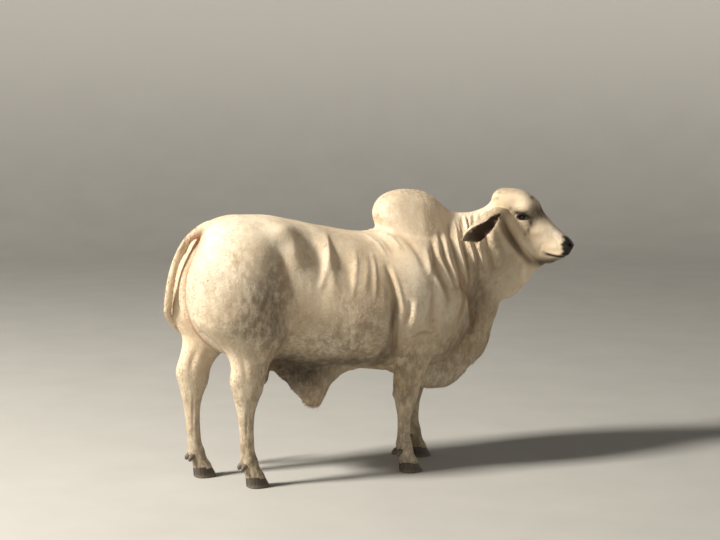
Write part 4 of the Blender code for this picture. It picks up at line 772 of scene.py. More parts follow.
def relax(mesh, steps, weight):
    """Draws the mesh's points towards the middle of their neighbours, each by its weight."""
    points, edges = points_of(mesh), column(mesh.edges, "vertices", 2, np.int64)
    first, second = edges.T
    size = len(points)
    count = np.maximum(np.bincount(edges.ravel(), minlength=size), 1)
    for _ in range(steps):
        middle = np.stack(
            [
                np.bincount(first, values[second], size) + np.bincount(second, values[first], size)
                for values in points.T
            ],
            axis=1,
        )
        points = points + 0.5 * weight[:, None] * (middle / count[:, None] - points)
    set_points(mesh, points)


def inside_box(points, low, high):
    """Which points lie between two corners."""
    return ((points > low) & (points < high)).all(axis=1)


def xyz(*parts):
    """Points from their three parts, each an array or one number for all."""
    return np.stack(np.broadcast_arrays(*parts), axis=1)


def unit(vectors):
    """The vectors, made one long."""
    return vectors / np.maximum(np.linalg.norm(vectors, axis=-1, keepdims=True), 1e-9)


def circle(around):
    """Angles round a whole circle."""
    return np.linspace(0, 2 * math.pi, around, endpoint=False)


def loft(name, rings, flat_ends=False):
    """A closed mesh object through rings of points, with a fan or a flat face at each end."""
    count, around = rings.shape[:2]
    points = rings.reshape(-1, 3)
    pairs = [(j, (j + 1) % around) for j in range(around)]
    last = (count - 1) * around
    faces = [
        (at + j, at + k, at + around + k, at + around + j)
        for at in range(0, last, around)
        for j, k in pairs
    ]
    if flat_ends:
        faces += [tuple(range(around)), tuple(range(last + around - 1, last - 1, -1))]
    else:
        points = np.concatenate([points, [rings[0].mean(axis=0), rings[-1].mean(axis=0)]])
        for j, k in pairs:
            faces += [(last + around, k, j), (last + around + 1, last + j, last + k)]
    mesh = bpy.data.meshes.new(name)
    mesh.from_pydata(points.tolist(), [], faces)
    with edited(mesh) as shape:
        bmesh.ops.recalc_face_normals(shape, faces=shape.faces)
        if flat_ends:
            bmesh.ops.triangulate(shape, faces=shape.faces, quad_method="FIXED")
    return linked(name, mesh)


def rounded(angle, power):
    """Cosine and sine of a rounded square: power 2 is an ellipse and more is squarer."""
    c, s = np.cos(angle), np.sin(angle)
    return np.sign(c) * np.abs(c) ** (2 / power), np.sign(s) * np.abs(s) ** (2 / power)


def section(angle, half, above, below, upward, downward):
    """Places across and up of a section about its widest place, rounded above and below it."""
    across_a, up_a = rounded(angle, above)
    across_b, up_b = rounded(angle, below)
    upper = angle < math.pi
    across = np.where(upper, across_a, across_b) * half
    return across, np.where(upper, up_a * upward, up_b * downward)


def trunk_loft(name, rows, count, around):
    """A loft of upright sections."""
    rings = []
    for s, top, bottom, half, widest, above, below in fill_rows(rows, count):
        across, up = section(circle(around), half, above, below, top - widest, widest - bottom)
        rings.append(xyz(s, across, widest + up))
    return loft(name, np.array(rings))


def slanted_loft(name, rows, count, around):
    """A loft of sections that each run from a top point to a bottom point of the profile."""
    rings = []
    for top_s, top_z, low_s, low_z, half, share, above, below in fill_rows(rows, count):
        across, up = section(circle(around), half, above, below, 1 - share, share)
        up = share + up
        rings.append(xyz(low_s + (top_s - low_s) * up, across, low_z + (top_z - low_z) * up))
    return loft(name, np.array(rings))


def stance_shift(leg, z, left):
    """How far forward a leg's stance has moved it at the height z."""
    low, high = BEND[leg]
    stance = np.where(left, STANCE[leg]["left"], STANCE[leg]["right"])
    return stance * ease((high - z) / (high - low))


def scrotum_loft(name, count, around):
    """A hanging pear between the thighs."""
    angle = circle(around)
    rings = [
        xyz(SCROTUM_MIDDLE + length * np.cos(angle), width * np.sin(angle), z)
        for z, length, width in fill_rows(SCROTUM, count)
    ]
    return loft(name, np.array(rings))


def leg_loft(name, rows, leg, side, count=110, around=40):
    """A loft of level ovals down a leg in its stance."""
    angle = circle(around)
    rings = []
    for z, s, length, width, y in fill_rows(rows, count):
        along = s + stance_shift(leg, z, side == "left") + length * np.cos(angle)
        rings.append(xyz(along, SIDE_SIGN[side] * y + width * np.sin(angle), z))
    return loft(name, np.array(rings))


def tube(name, stations, around, between):
    """A closed tube through stations of (x, y, z, radius), smooth between them."""
    rows = fill_rows(stations, between * (len(stations) - 1) + 1)
    centres, radii = rows[:, :3], rows[:, 3]
    ahead = unit(np.gradient(centres, axis=0))
    angle = circle(around)
    side = np.array([0.0, 1.0, 0.0])
    rings = []
    for centre, along, radius in zip(centres, ahead, radii):
        side = side - along * np.dot(side, along)
        side /= np.linalg.norm(side)
        other = np.cross(along, side)
        ring = np.outer(np.cos(angle), side) + np.outer(np.sin(angle), other)
        rings.append(centre + radius * ring)
    return loft(name, np.array(rings))


def ball(name, radius, rings_count, around):
    """A sphere about the origin with its poles on the X axis."""
    angle = circle(around)
    rings = []
    for i in range(1, rings_count):
        polar = math.pi * i / rings_count
        across = radius * math.sin(polar)
        ring = xyz(-radius * math.cos(polar), across * np.cos(angle), across * np.sin(angle))
        rings.append(ring)
    obj = loft(name, np.array(rings))
    points = points_of(obj.data)
    points[-2:] = ((-radius, 0.0, 0.0), (radius, 0.0, 0.0))
    set_points(obj.data, points)
    return obj


def placed(obj, matrix):
    """Moves the mesh itself."""
    obj.data.transform(matrix)
    if matrix.determinant() < 0:
        obj.data.flip_normals()
    return obj


def applied(obj):
    """The object with its modifiers applied, as a plain mesh."""
    graph = bpy.context.evaluated_depsgraph_get()
    mesh = bpy.data.meshes.new_from_object(obj.evaluated_get(graph))
    obj.modifiers.clear()
    obj.data = mesh
    return obj


def fused(name, pieces):
    """One closed skin round all the pieces."""
    mesh = bpy.data.meshes.new(name)
    with edited(mesh) as shape:
        for piece in pieces:
            shape.from_mesh(piece.data)
            bpy.data.objects.remove(piece)
    obj = linked(name, mesh)
    remesh = obj.modifiers.new("Remesh", "REMESH")
    remesh.mode = "VOXEL"
    remesh.voxel_size = SKIN_VOXEL
    smooth = obj.modifiers.new("Smooth", "SMOOTH")
    smooth.factor = 0.5
    smooth.iterations = SKIN_SMOOTH_STEPS
    return applied(obj)


def lean_tail():
    """The sections of the tail under its hair."""
    rows = []
    for k in range(TAIL_STATIONS + 1):
        x, y, z, radius = tail_row(k / TAIL_STATIONS)
        near = TAIL_DRAWN_IN * math.sin(math.pi * k / TAIL_STATIONS)
        rows.append((x + near, y, z, TAIL_LEANNESS * radius))
    return rows


def straight_skin():
    """One skin round the whole straight body, without ears."""
    pieces = [
        trunk_loft("trunk", TRUNK, 120, 72),
        slanted_loft("neck", NECK, 60, 56),
        slanted_loft("hump", HUMP, 70, 56),
        slanted_loft("head", HEAD, 110, 64),
        slanted_loft("dewlap", DEWLAP, 120, 48),
        slanted_loft("sheath", SHEATH, 70, 40),
        scrotum_loft("scrotum", 30, 32),
        tube("tail", lean_tail(), 24, 3),
    ]
    for side in SIDE_SIGN:
        for leg, rows in (("hind", HIND_LEG), ("fore", FORE_LEG)):
            pieces.append(leg_loft(f"{leg}_{side}", rows, leg, side))
    return fused("skin", pieces)


def neck_angle(s):
    """How far the neck has turned at each s."""
    return NECK_TURN * ease((s - TURN_START) / (TURN_END - TURN_START))


def neck_path(s):
    """Where the turned middle line lies at each s, and its turn there."""
    table = np.linspace(TURN_START, TURN_END, TURN_STEPS)
    angle = neck_angle(table)
    step = table[1] - table[0]
    between = (angle[1:] + angle[:-1]) / 2
    path_x = TURN_START + np.concatenate([[0], np.cumsum(np.cos(between) * step)])
    path_y = np.concatenate([[0], np.cumsum(np.sin(between) * step)])
    phi = neck_angle(s)
    inside = np.clip(s, TURN_START, TURN_END)
    beyond = np.maximum(s - TURN_END, 0)
    before = np.minimum(s - TURN_START, 0)
    x = np.interp(inside, table, path_x) + before + beyond * np.cos(phi)
    return x, np.interp(inside, table, path_y) + beyond * np.sin(phi), phi


def turned(points):
    """The points after the neck and head have turned to the side."""
    x, y, phi = neck_path(points[:, 0])
    out = points.copy()
    out[:, 0] = x - points[:, 1] * np.sin(phi)
    out[:, 1] = y + points[:, 1] * np.cos(phi)
    return out


def straightened(points):
    """Where the turned points lay on the straight body, found in small steps."""
    s = points[:, 0].copy()
    for _ in range(30):
        x, y, phi = neck_path(s)
        x, y = points[:, 0] - x, points[:, 1] - y
        s += 0.7 * (x * np.cos(phi) + y * np.sin(phi))
    out = points.copy()
    out[:, 0] = s
    out[:, 1] = y * np.cos(phi) - x * np.sin(phi)
    return out


def rotated(vectors, s, back=False):
    """Vectors of the straight body as the turned neck carries them, or back again."""
    phi = neck_angle(s) * (-1 if back else 1)
    out = vectors.copy()
    out[:, 0] = vectors[:, 0] * np.cos(phi) - vectors[:, 1] * np.sin(phi)
    out[:, 1] = vectors[:, 0] * np.sin(phi) + vectors[:, 1] * np.cos(phi)
    return out


def head_matrix():
    """Where the turned neck brings the stiff head."""
    end = turned(np.array([[TURN_END, 0.0, 0.0]]))[0]
    return (
        Matrix.Translation(end)
        @ Matrix.Rotation(NECK_TURN, 4, "Z")
        @ Matrix.Translation((-TURN_END, 0.0, 0.0))
    )


def with_side(vector, side):
    """A place or direction of the left side, mirrored for the right."""
    return Vector((vector[0], SIDE_SIGN[side] * vector[1], vector[2]))


def nostril_rows(path, side):
    """The stations of one part of the nostril on this side."""
    return [(s, SIDE_SIGN[side] * y, z, radius) for s, y, z, radius in path]


def eye_axes(side):
    """The ways along, above and out from the eye, on the straight head."""
    out = with_side(EYE_OUT, side)
    along = (Vector((1.0, 0.0, 0.0)) - out * out.x).normalized()
    up = out.cross(along)
    return along, (-up if up.z < 0 else up), out


def eye_frame(points, side):
    """Places along, above and out from the eye's middle, on the straight head."""
    away = points - np.array(with_side(EYE_PLACE, side))
    return [away @ np.array(axis) for axis in eye_axes(side)]


def eye_matrix(side):
    """Brings a shape that faces along X to the eye, on the straight head."""
    turn = with_side(EYE_OUT, side).to_track_quat("X", "Z").to_matrix().to_4x4()
    return Matrix.Translation(with_side(EYE_PLACE, side)) @ turn


def spot(points, middle, reach):
    """A soft round patch about a place, 1 in its middle."""
    return np.exp(-(((points - np.array(middle)) / np.array(reach)) ** 2).sum(axis=1))


def swellings(s, y, z, shapes):
    """How far soft round shapes raise the skin at each place, alike on both sides."""
    places = xyz(s, np.abs(y), z)
    return sum(rise * spot(places, shape[:3], shape[3:]) for *shape, rise in shapes)


def line_distance(places, line):
    """Distance of each (s, z) place from a smooth line, and the share of its length there."""
    path = fill_rows(line, 8 * (len(line) - 1) + 1)
    away = np.full(len(places), 9.0)
    along = np.zeros(len(places))
    for k in range(len(path) - 1):
        step = path[k + 1] - path[k]
        share = np.clip((places - path[k]) @ step / (step @ step), 0, 1)
        distance = np.linalg.norm(places - path[k] - share[:, None] * step, axis=1)
        better = distance < away
        away[better] = distance[better]
        along[better] = (k + share[better]) / (len(path) - 1)
    return away, along


def line_rise(points, width, rise, line, fade):
    """A soft ridge or groove along a line seen from the side."""
    low, high = np.min(line, axis=0) - 3 * width, np.max(line, axis=0) + 3 * width
    places = points[:, (0, 2)]
    near = np.flatnonzero(inside_box(places, low, high))
    out = np.zeros(len(points))
    if len(near):
        away, along = line_distance(places[near], line)
        ends = np.sin(math.pi * np.clip(along, 0.002, 0.998)) ** fade
        out[near] = rise * np.exp(-((away / width) ** 2)) * ends
    return out


def fold_rise(points):
    """How far the folds of neck, shoulder, ribs and flank lift the skin at each point."""
    rise = np.zeros(len(points))
    right = points[:, 1] < 0
    for left_share, width, height, line in FOLDS:
        rise += line_rise(points, width, height, line, 0.6) * np.where(right, 1.0, left_share)
    return rise * ease((np.abs(points[:, 1]) - 0.03) / 0.05) * (points[:, 2] > 0.6)


def leg_rise(points):
    """How far bones and sinews lift the skin of the lower legs, where each leg stands."""
    s, y, z = points.T
    hind = swellings(s - stance_shift("hind", z, y > 0), y, z, HIND_LEG_SHAPES)
    fore = swellings(s - stance_shift("fore", z, y > 0), y, z, FORE_LEG_SHAPES)
    return hind * (s < -0.45) + fore * (s > -0.2)


def ripple(points):
    """How far small swells and slack lift the skin, and the loose edges of dewlap and sheath."""
    s, y, z = points.T
    slack = ease((0.085 - np.abs(y)) / 0.04) * ease((z - 0.4) / 0.1)
    chest = (s > 0.05) & (z < 1.0 - 1.2 * np.maximum(0.56 - s, 0))
    dewlap = slack * (chest | (s > 0.6) & (z < 1.17)) * (s < 1.02)
    pouch = (s < -0.1) & (s > -0.6) & (z < 0.6) & (z > 0.38)
    pouch = ease((0.06 - np.abs(y)) / 0.03) * pouch
    small = np.array([noise.noise(Vector(p) * 7.0) for p in points])
    fine = np.array([noise.noise(Vector((a * 26.0, b * 14.0, c * 7.0))) for a, b, c in points])
    head = ease((s - HEAD_START) / 0.08)
    rise = small * (0.0035 * (1 - head) + 0.0008 * head)
    rise += fine * (0.006 * dewlap + 0.004 * pouch + 0.0006 * (1 - head))
    rise[z < 0.45] *= 0.4
    return rise


def face_rise(points):
    """How far the creases of lips, nose, lids and brow lift the skin."""
    rise = np.zeros(len(points))
    for width, height, line in FACE_LINES:
        rise += line_rise(points, width, height, line, 0.25)
    rise *= (points[:, 0] > 0.86) & (points[:, 2] > 1.14)
    for side in SIDE_SIGN:
        a, b, depth = eye_frame(points, side)
        ring = np.sqrt((a / LID_OPENING[0]) ** 2 + (b / LID_OPENING[1]) ** 2)
        close = (depth > -0.01) & (np.hypot(a, b) < 0.08)
        above, below = ease((b + 0.012) / 0.012), ease((-b - 0.004) / 0.01)
        rise += close * 0.0016 * np.exp(-(((ring - 1.45) / 0.3) ** 2))
        rise -= close * 0.0022 * np.exp(-(((ring - 2.15) / 0.22) ** 2)) * above
        rise -= close * 0.0014 * np.exp(-(((ring - 2.3) / 0.25) ** 2)) * below
    return rise


def coat_rise(points):
    """Sinks the skin by the coat's depth, less on the bare nose and lids."""
    s, _, z = points.T
    depth = np.full(len(points), COAT_DEPTH)
    depth *= 1 - 0.6 * ease((s - HEAD_START) / 0.1)
    depth *= 1 - ease((s - 1.1) / 0.06)
    depth *= ease((z - 0.07) / 0.06)
    return -depth


def raise_lids(mesh):
    """Lifts the straight head's skin over each eyeball, to the thickness of the lids."""
    points = points_of(mesh)
    for side in SIDE_SIGN:
        away = points - np.array(with_side(EYE_PLACE, side))
        distance = np.linalg.norm(away, axis=1)
        way = away / np.maximum(distance, 1e-9)[:, None]
        facing = away @ np.array(with_side(EYE_OUT, side)) / np.maximum(distance, 1e-9)
        rise = np.clip(EYE_RADIUS + LID_THICKNESS - distance, 0.0, None)
        rise = rise * ease((facing - 0.15) / 0.35) * (distance > 0.008)
        points += way * rise[:, None]
    set_points(mesh, points)


def refined(obj, inside):
    """Halves the faces whose middle the test picks."""
    with edited(obj.data) as shape:
        middles = np.array([face.calc_center_median() for face in shape.faces])
        picked = [face for face, take in zip(shape.faces, inside(middles)) if take]
        edges = list({edge for face in picked for edge in face.edges})
        bmesh.ops.subdivide_edges(shape, edges=edges, cuts=1, use_grid_fill=True)


def boolean(obj, cutter, operation):
    """Applies a Boolean and removes the cutter."""
    before = len(obj.data.vertices)
    plain = obj.data
    for solver in ("MANIFOLD", "EXACT"):
        modifier = obj.modifiers.new("Boolean", "BOOLEAN")
        modifier.operation = operation
        modifier.solver = solver
        modifier.object = cutter
        applied(obj)
        if len(obj.data.vertices) not in (0, before):
            break
        obj.data = plain
    bpy.data.objects.remove(cutter)


def almond_cutter(side, around=20):
    """A flaring cutter with the outline of the open eye."""
    along, up, out = eye_axes(side)
    middle = with_side(EYE_PLACE, side)
    rings = []
    for depth, scale in LID_CUT:
        ring = []
        for k in range(around):
            turn = 2 * math.pi * k / around
            a, b = math.cos(turn), math.sin(turn) * math.sqrt(abs(math.sin(turn)))
            across = along * (a * LID_OPENING[0] * scale)
            rise = up * (b * LID_OPENING[1] * scale - LID_DROP)
            ring.append(middle + out * depth + across + rise)
        rings.append(ring)
    return loft("almond_cutter", np.array(rings), flat_ends=True)


def open_face(skin):
    """Cuts the eye openings and the nostrils."""
    for side in SIDE_SIGN:
        socket = ball("socket", EYE_RADIUS + 2 * EYE_PLAY, 24, 36)
        boolean(skin, placed(socket, eye_matrix(side)), "DIFFERENCE")
        boolean(skin, almond_cutter(side), "DIFFERENCE")
        for path in (NOSTRIL_SLIT, NOSTRIL_DEEP):
            boolean(skin, tube("nostril", nostril_rows(path, side), 20, 6), "DIFFERENCE")


def ear(name, side, rows=60, across=26):
    """One ear: a long leaf, rolled at its root and open at its tip. Its inner face too."""
    line = fill_rows(EAR_LINE, rows)
    shape = np.asarray(EAR_SHAPE, float)
    share = np.linspace(0, 1, rows)
    width, upper, lower, thick = (steady_curve(shape[:, 0], part, share) for part in shape.T[1:])
    ahead = unit(np.gradient(line, axis=0))
    rings, inside = [], []
    for i in range(rows):
        along = Vector(ahead[i])
        back = (EAR_BACK - along * EAR_BACK.dot(along)).normalized()
        low = along.cross(back).normalized()
        if low.z > 0:
            low = -low
        wave = 1 + 0.035 * math.sin(17 * share[i]) * share[i]
        radius = width[i] * wave / math.radians(lower[i] - upper[i])
        centre = Vector(line[i]) - back * radius
        outer, inner = [], []
        for v in np.linspace(-1, 1, across):
            turn = math.radians(upper[i] + (lower[i] - upper[i]) * (v + 1) / 2)
            way = back * math.cos(turn) + low * math.sin(turn)
            depth = 0.85 * thick[i] * math.sqrt(max(0.05, 1 - v**4))
            vein = 0.0007 * math.cos(9 * v + 2 * share[i]) * (1 - v * v)
            outer.append(centre + way * (radius + 0.4 * depth + vein))
            inner.append(centre + way * (radius - 0.6 * depth + vein))
        rings.append(outer + inner[::-1])
        inside.append(inner)
    obj = loft(name, np.array(rings), flat_ends=True)
    inside = np.array(inside)
    if side == "right":
        placed(obj, Matrix.Diagonal((1.0, -1.0, 1.0, 1.0)))
        inside = inside * (1, -1, 1)
    return obj, inside


def kd_tree(points):
    """A search tree over the points."""
    tree = KDTree(len(points))
    for k, point in enumerate(points):
        tree.insert(point, k)
    tree.balance()
    return tree


def soften_joint(mesh, known):
    """Relaxes the skin near the points that a union has added."""
    points = points_of(mesh)
    tree = kd_tree(known[known[:, 0] > 0.55])
    added = [p for p in points if p[0] > 0.56 and tree.find(p)[2] > 1e-5]
    if not added:
        return
    joint = kd_tree(np.array(added))
    low, high = np.min(added, axis=0) - 0.02, np.max(added, axis=0) + 0.02
    weight = np.zeros(len(points))
    for k in np.flatnonzero(inside_box(points, low, high)):
        weight[k] = ease(1.6 - joint.find(points[k])[2] / 0.009)
    relax(mesh, JOINT_SMOOTH_STEPS, weight)


def add_ears(skin):
    """Joins both ears to the turned skin and softens the joints. Returns their inner faces."""
    move = head_matrix()
    faces = []
    for side in SIDE_SIGN:
        old = points_of(skin.data)
        leaf, inside = ear("ear_" + side, side)
        placed(leaf, move)
        tips = points_of(leaf.data)
        boolean(skin, leaf, "UNION")
        moved = np.array([move @ Vector(p) for p in inside.reshape(-1, 3)])
        faces.append(moved.reshape(inside.shape))
        soften_joint(skin.data, np.concatenate([old, tips]))
    return faces


def cut_feet(mesh):
    """Ends the skin just inside the top of the claws."""
    with edited(mesh) as shape:
        everything = list(shape.verts) + list(shape.edges) + list(shape.faces)
        bmesh.ops.bisect_plane(
            shape,
            geom=everything,
            plane_co=(0, 0, CORONET_HEIGHT - 0.004),
            plane_no=(0, 0, -1),
            clear_outer=True,
        )
        rim = [edge for edge in shape.edges if edge.is_boundary]
        bmesh.ops.holes_fill(shape, edges=rim)


def fine_face(middles):
    """The places round the eyes, the mouth and the nose."""
    s, _, z = middles.T
    eyes = [np.array(with_side(EYE_PLACE, side)) for side in SIDE_SIGN]
    near = [np.linalg.norm(middles - eye, axis=1) for eye in eyes]
    muzzle = (s > 1.06) & (z > 1.18) & (z < 1.325) & (z < 1.25 + 0.55 * (s - 1.06))
    return (np.minimum(*near) < FINE_EYE) | muzzle


def make_skin():
    """The finished skin and its straight places."""
    skin = straight_skin()
    mesh = skin.data
    lift(mesh, swellings(*points_of(mesh).T, SHAPES + FINE_SHAPES))
    relax(mesh, BODY_SMOOTH_STEPS, ease((0.84 - points_of(mesh)[:, 0]) / 0.1))
    sheath = spot(points_of(mesh), (-0.46, 0.0, 0.63), (0.34, 0.17, 0.12))
    relax(mesh, SHEATH_SMOOTH_STEPS, np.minimum(1.0, 1.6 * sheath))
    for rise in (fold_rise, leg_rise, ripple):
        lift(mesh, rise(points_of(mesh)))
    refined(skin, lambda middles: (middles[:, 0] > HEAD_START) & (middles[:, 2] > 1.12))
    refined(skin, fine_face)
    relax(mesh, HEAD_SMOOTH_STEPS, ease((points_of(mesh)[:, 0] - HEAD_START) / 0.05))
    lift(mesh, coat_rise(points_of(mesh)))
    raise_lids(mesh)
    lift(mesh, face_rise(points_of(mesh)))
    open_face(skin)
    set_points(skin.data, turned(points_of(skin.data)))
    faces = add_ears(skin)
    cut_feet(skin.data)
    return skin, mark_skin(skin.data, faces)


def stance_s(points):
    """The s of each point before the legs took their stance."""
    s, y, z = points.T
    hind = stance_shift("hind", z, y > 0) * ease((-0.42 - s) / 0.15)
    fore = stance_shift("fore", z, y > 0) * ease((s + 0.22) / 0.15)
    return s - np.where(s < -0.35, hind, np.where(s < 0.75, fore, 0.0))


def own_places(points):
    """Places on the body without its stance: s, distance from the middle, z."""
    return xyz(stance_s(points), np.abs(points[:, 1]), points[:, 2])


def lying_down(points):
    """Where the coat hangs: shoulder and arm, thigh and hind leg, and side of the neck."""
    own, s, z = own_places(points), points[:, 0], points[:, 2]
    arm = ease((0.8 - z) / 0.22) * (np.abs(own[:, 0] - 0.25) < 0.24) * (own[:, 1] > 0.08)
    thigh = ease((1.05 - z) / 0.3) * (own[:, 0] < -0.55)
    neck = ease((s - 0.5) / 0.12) * ease((0.8 - s) / 0.08)
    return np.maximum(np.maximum(arm, thigh), neck)


def markings(points):
    """The masks of the hide at places of the straight body, by name, with painted shade among them.
    """
    s, y, z = points.T
    own = own_places(points)
    masks = {}
    for name, rows in MARKS.items():
        clear = 1.0
        for left_share, *place, strength in rows:
            patch = strength * spot(own, place[:3], place[3:]) * np.where(y > 0, left_share, 1.0)
            clear = clear * (1 - patch)
        masks[name] = 1 - clear
    # Painted shade on the throat, behind the jaw
    jaw = line_rise(points, JAW_SHADE_WIDTH, 1.0, JAW_SHADE, 0.25)
    masks["brown"] = np.maximum(masks["brown"], 0.9 * jaw)
    hind = (own[:, 0] < -0.5) * ease((0.68 - z) / 0.16)
    fore = (own[:, 0] > 0.0) * (own[:, 0] < 0.5) * ease((0.56 - z) / 0.14)
    masks["mud"] = np.maximum(masks["mud"], hind * (0.42 + 0.4 * ease((0.45 - z) / 0.35)))
    masks["mud"] = np.maximum(masks["mud"], fore * (0.16 + 0.42 * ease((0.35 - z) / 0.3)))
    pad_edge = 1.176 + 0.16 * np.maximum(z - 1.285, 0) + 0.05 * np.maximum(1.235 - z, 0)
    pad_edge = pad_edge + 0.42 * np.maximum(0.045 - np.abs(y), 0) * (z > 1.29)
    pad_edge = pad_edge + 0.004 * np.sin(95 * z + 50 * y) + 0.003 * np.sin(230 * z - 140 * y)
    pad = ease((s - pad_edge) / 0.024 + 0.5) * (z > 1.205) * (s > 1.1)
    lip = ease(1 - np.abs(z - 1.214 - 0.2 * np.maximum(1.15 - s, 0)) / 0.017) * (s > 1.045)
    masks["pad"] = np.maximum(pad, lip * ease((s - 1.05) / 0.05))
    masks["lid"] = np.zeros(len(points))
    for side in SIDE_SIGN:
        a, b, depth = eye_frame(points, side)
        ring = np.hypot(a / (LID_OPENING[0] + 0.006), b / (LID_OPENING[1] + 0.005))
        lid = ease((1.6 - ring) / 0.5) * (depth > -0.012) * (np.hypot(a, b) < 0.06)
        masks["lid"] = np.maximum(masks["lid"], lid)
    neck = ease((s - 0.15) / 0.15) * ease((0.88 - s) / 0.08) * ease((z - 0.4) / 0.1)
    sheath = 0.5 * spot(own, (-0.36, 0.0, 0.45), (0.1, 0.1, 0.1))
    masks["loose"] = np.maximum(neck, sheath)
    masks["down"] = lying_down(points)
    masks["sunk"] = np.clip(-fold_rise(points) / 0.012, 0, 1)
    # Painted shade, deepening down the body from the height of the flank
    masks["under"] = ease((1.02 - z) / 0.42) * ease((s + 1.0) / 0.35)
    return masks


def stored(mesh, name, values):
    """Keeps one number for each point of the mesh, for its material."""
    layer = mesh.attributes.get(name) or mesh.attributes.new(name, "FLOAT", "POINT")
    layer.data.foreach_set("value", np.ascontiguousarray(values, dtype=np.float32))


def ear_mask(points, face):
    """How far each point belongs to the dark inside of an ear, which starts below its rim."""
    inner = np.zeros(len(points))
    rows, across = face.shape[:2]
    quads = [
        (k, k + 1, k + across + 1, k + across)
        for start in range(0, (rows - 1) * across, across)
        for k in range(start, start + across - 1)
    ]
    tree = BVHTree.FromPolygons([Vector(p) for p in face.reshape(-1, 3)], quads)
    low, high = face.min(axis=(0, 1)) - 0.01, face.max(axis=(0, 1)) + 0.01
    for k in np.flatnonzero(inside_box(points, low, high)):
        _, _, quad, distance = tree.find_nearest(Vector(points[k]), 0.03)
        if quad is None:
            continue
        row, place = divmod(quad, across - 1)
        share = row / (rows - 1)
        rim = place / (across - 1) + 0.05 * math.sin(23 * share) + 0.03 * math.sin(61 * share)
        level = ease((EAR_FACE_REACH - distance) / 0.0022)
        level *= ease((rim - 0.36) / 0.18) * ease((1.05 - rim) / 0.12)
        inner[k] = level * (1 - 0.35 * ease((share - 0.75) / 0.25))
    return inner


def mark_skin(mesh, ear_faces):
    """Stores the masks of the hide in the skin's points. Returns their straight places."""
    points = points_of(mesh)
    straight = straightened(points)
    masks = markings(straight)
    masks["inner"] = np.maximum(*(ear_mask(points, face) for face in ear_faces))
    masks["hole"] = np.zeros(len(points))
    for side in SIDE_SIGN:
        for row in nostril_rows(NOSTRIL_DEEP + NOSTRIL_SLIT, side):
            near = spot(straight, row[:3], (0.016, 0.014, 0.014))
            masks["hole"] = np.maximum(masks["hole"], near)
    for name, values in masks.items():
        stored(mesh, name, values)
    return straight


def tail_gap(straight):
    """Numbers of the places near the tail, its stations, the nearest one and its distance."""
    near = np.flatnonzero(straight[:, 0] < -0.85)
    path = np.array([tail_row(k / 60) for k in range(10, 61)])
    away = np.linalg.norm(straight[near, None, :] - path[None, :, :3], axis=2)
    return near, path, away.argmin(axis=1), away.min(axis=1)


def unwrap(straight):
    """A place for each point on a flat plan of the skin: u along it and v round it."""
    s, y, z = straight.T
    own = stance_s(straight)
    u = 0.02 + 0.6 * (s + 1.25) / 2.6
    v = 0.73 + 0.48 * np.arctan2(y, z - 1.05) / (2 * math.pi)
    legs = (
        ((own < -0.5) & (z < 0.6) & (np.abs(y) > 0.08), -0.92, 0.0),
        ((own > 0.0) & (own < 0.5) & (z < 0.6) & (np.abs(y) > 0.1), 0.2, 0.5),
    )
    for mine, middle, base in legs:
        for left in (False, True):
            here = mine & ((y > 0) == left)
            turn = np.arctan2(np.abs(y[here]) - 0.19, own[here] - middle) / (2 * math.pi) + 0.5
            u[here] = 0.66 + 0.15 * turn + 0.17 * left
            v[here] = base + 0.02 + 0.44 * z[here] / 0.62
    ear_places = (s < 0.84) & (s > 0.55) & (np.abs(y) > 0.125) & (z > 1.25) & (z < 1.58)
    u[ear_places] = (0.05 + 0.25 * (0.84 - s) / 0.26 + 0.28 * (y > 0))[ear_places]
    v[ear_places] = (0.02 + 0.18 * (z - 1.25) / 0.33)[ear_places]
    near, path, best, away = tail_gap(straight)
    close = away < 1.35 * path[best, 3]
    tail, best = near[close], best[close]
    turn = np.arctan2(y[tail] - path[best, 1], s[tail] - path[best, 0]) / (2 * math.pi) + 0.5
    u[tail] = 0.05 + 0.5 * best / 50
    v[tail] = 0.26 + 0.16 * turn
    return np.clip(np.stack([u, v], axis=1), 0.002, 0.995)


def set_uv(mesh, uv_of_points):
    """Writes the map for baking from one place for each point."""
    layer = mesh.uv_layers.new(name="OFBake")
    corner = column(mesh.loops, "vertex_index", 1, np.int64)
    layer.data.foreach_set("uv", uv_of_points[corner].astype(np.float32).ravel())


def along_skin(ways, normals):
    """The ways laid flat on the skin, one long."""
    return unit(ways - normals * (ways * normals).sum(axis=1)[:, None])


def lie_of_coat(points, normals):
    """The way the hair lies at places of the straight body, along the skin."""
    s, _, z = points.T
    way = np.tile(np.array([-1.0, 0.0, -0.28]), (len(points), 1))
    face = ease((s - 0.86) / 0.06) * ease((1.56 - z - 0.4 * (s - 0.93)) / 0.05)
    for share, own_way in (
        (lying_down(points), (-0.12, 0.0, -1.0)),
        (ease((0.72 - z) / 0.1) * (s > -0.6) * (s < 0.1), (-1.0, 0.0, -0.1)),  # belly
        (face, (0.62, 0.0, -0.78)),
        (ease((s - 0.84) / 0.04) * ease((1.36 - z) / 0.06), (-0.55, 0.0, -0.5)),  # jaw
        (ease((z - 1.545) / 0.03) * (s > 0.72), (0.55, 0.0, 0.35)),  # poll
        (ease((z - 1.5) / 0.05) * (s < 0.7), (-0.85, 0.0, -0.1)),  # hump
    ):
        way = way * (1 - share[:, None]) + np.array(own_way) * share[:, None]
    return along_skin(way, normals)


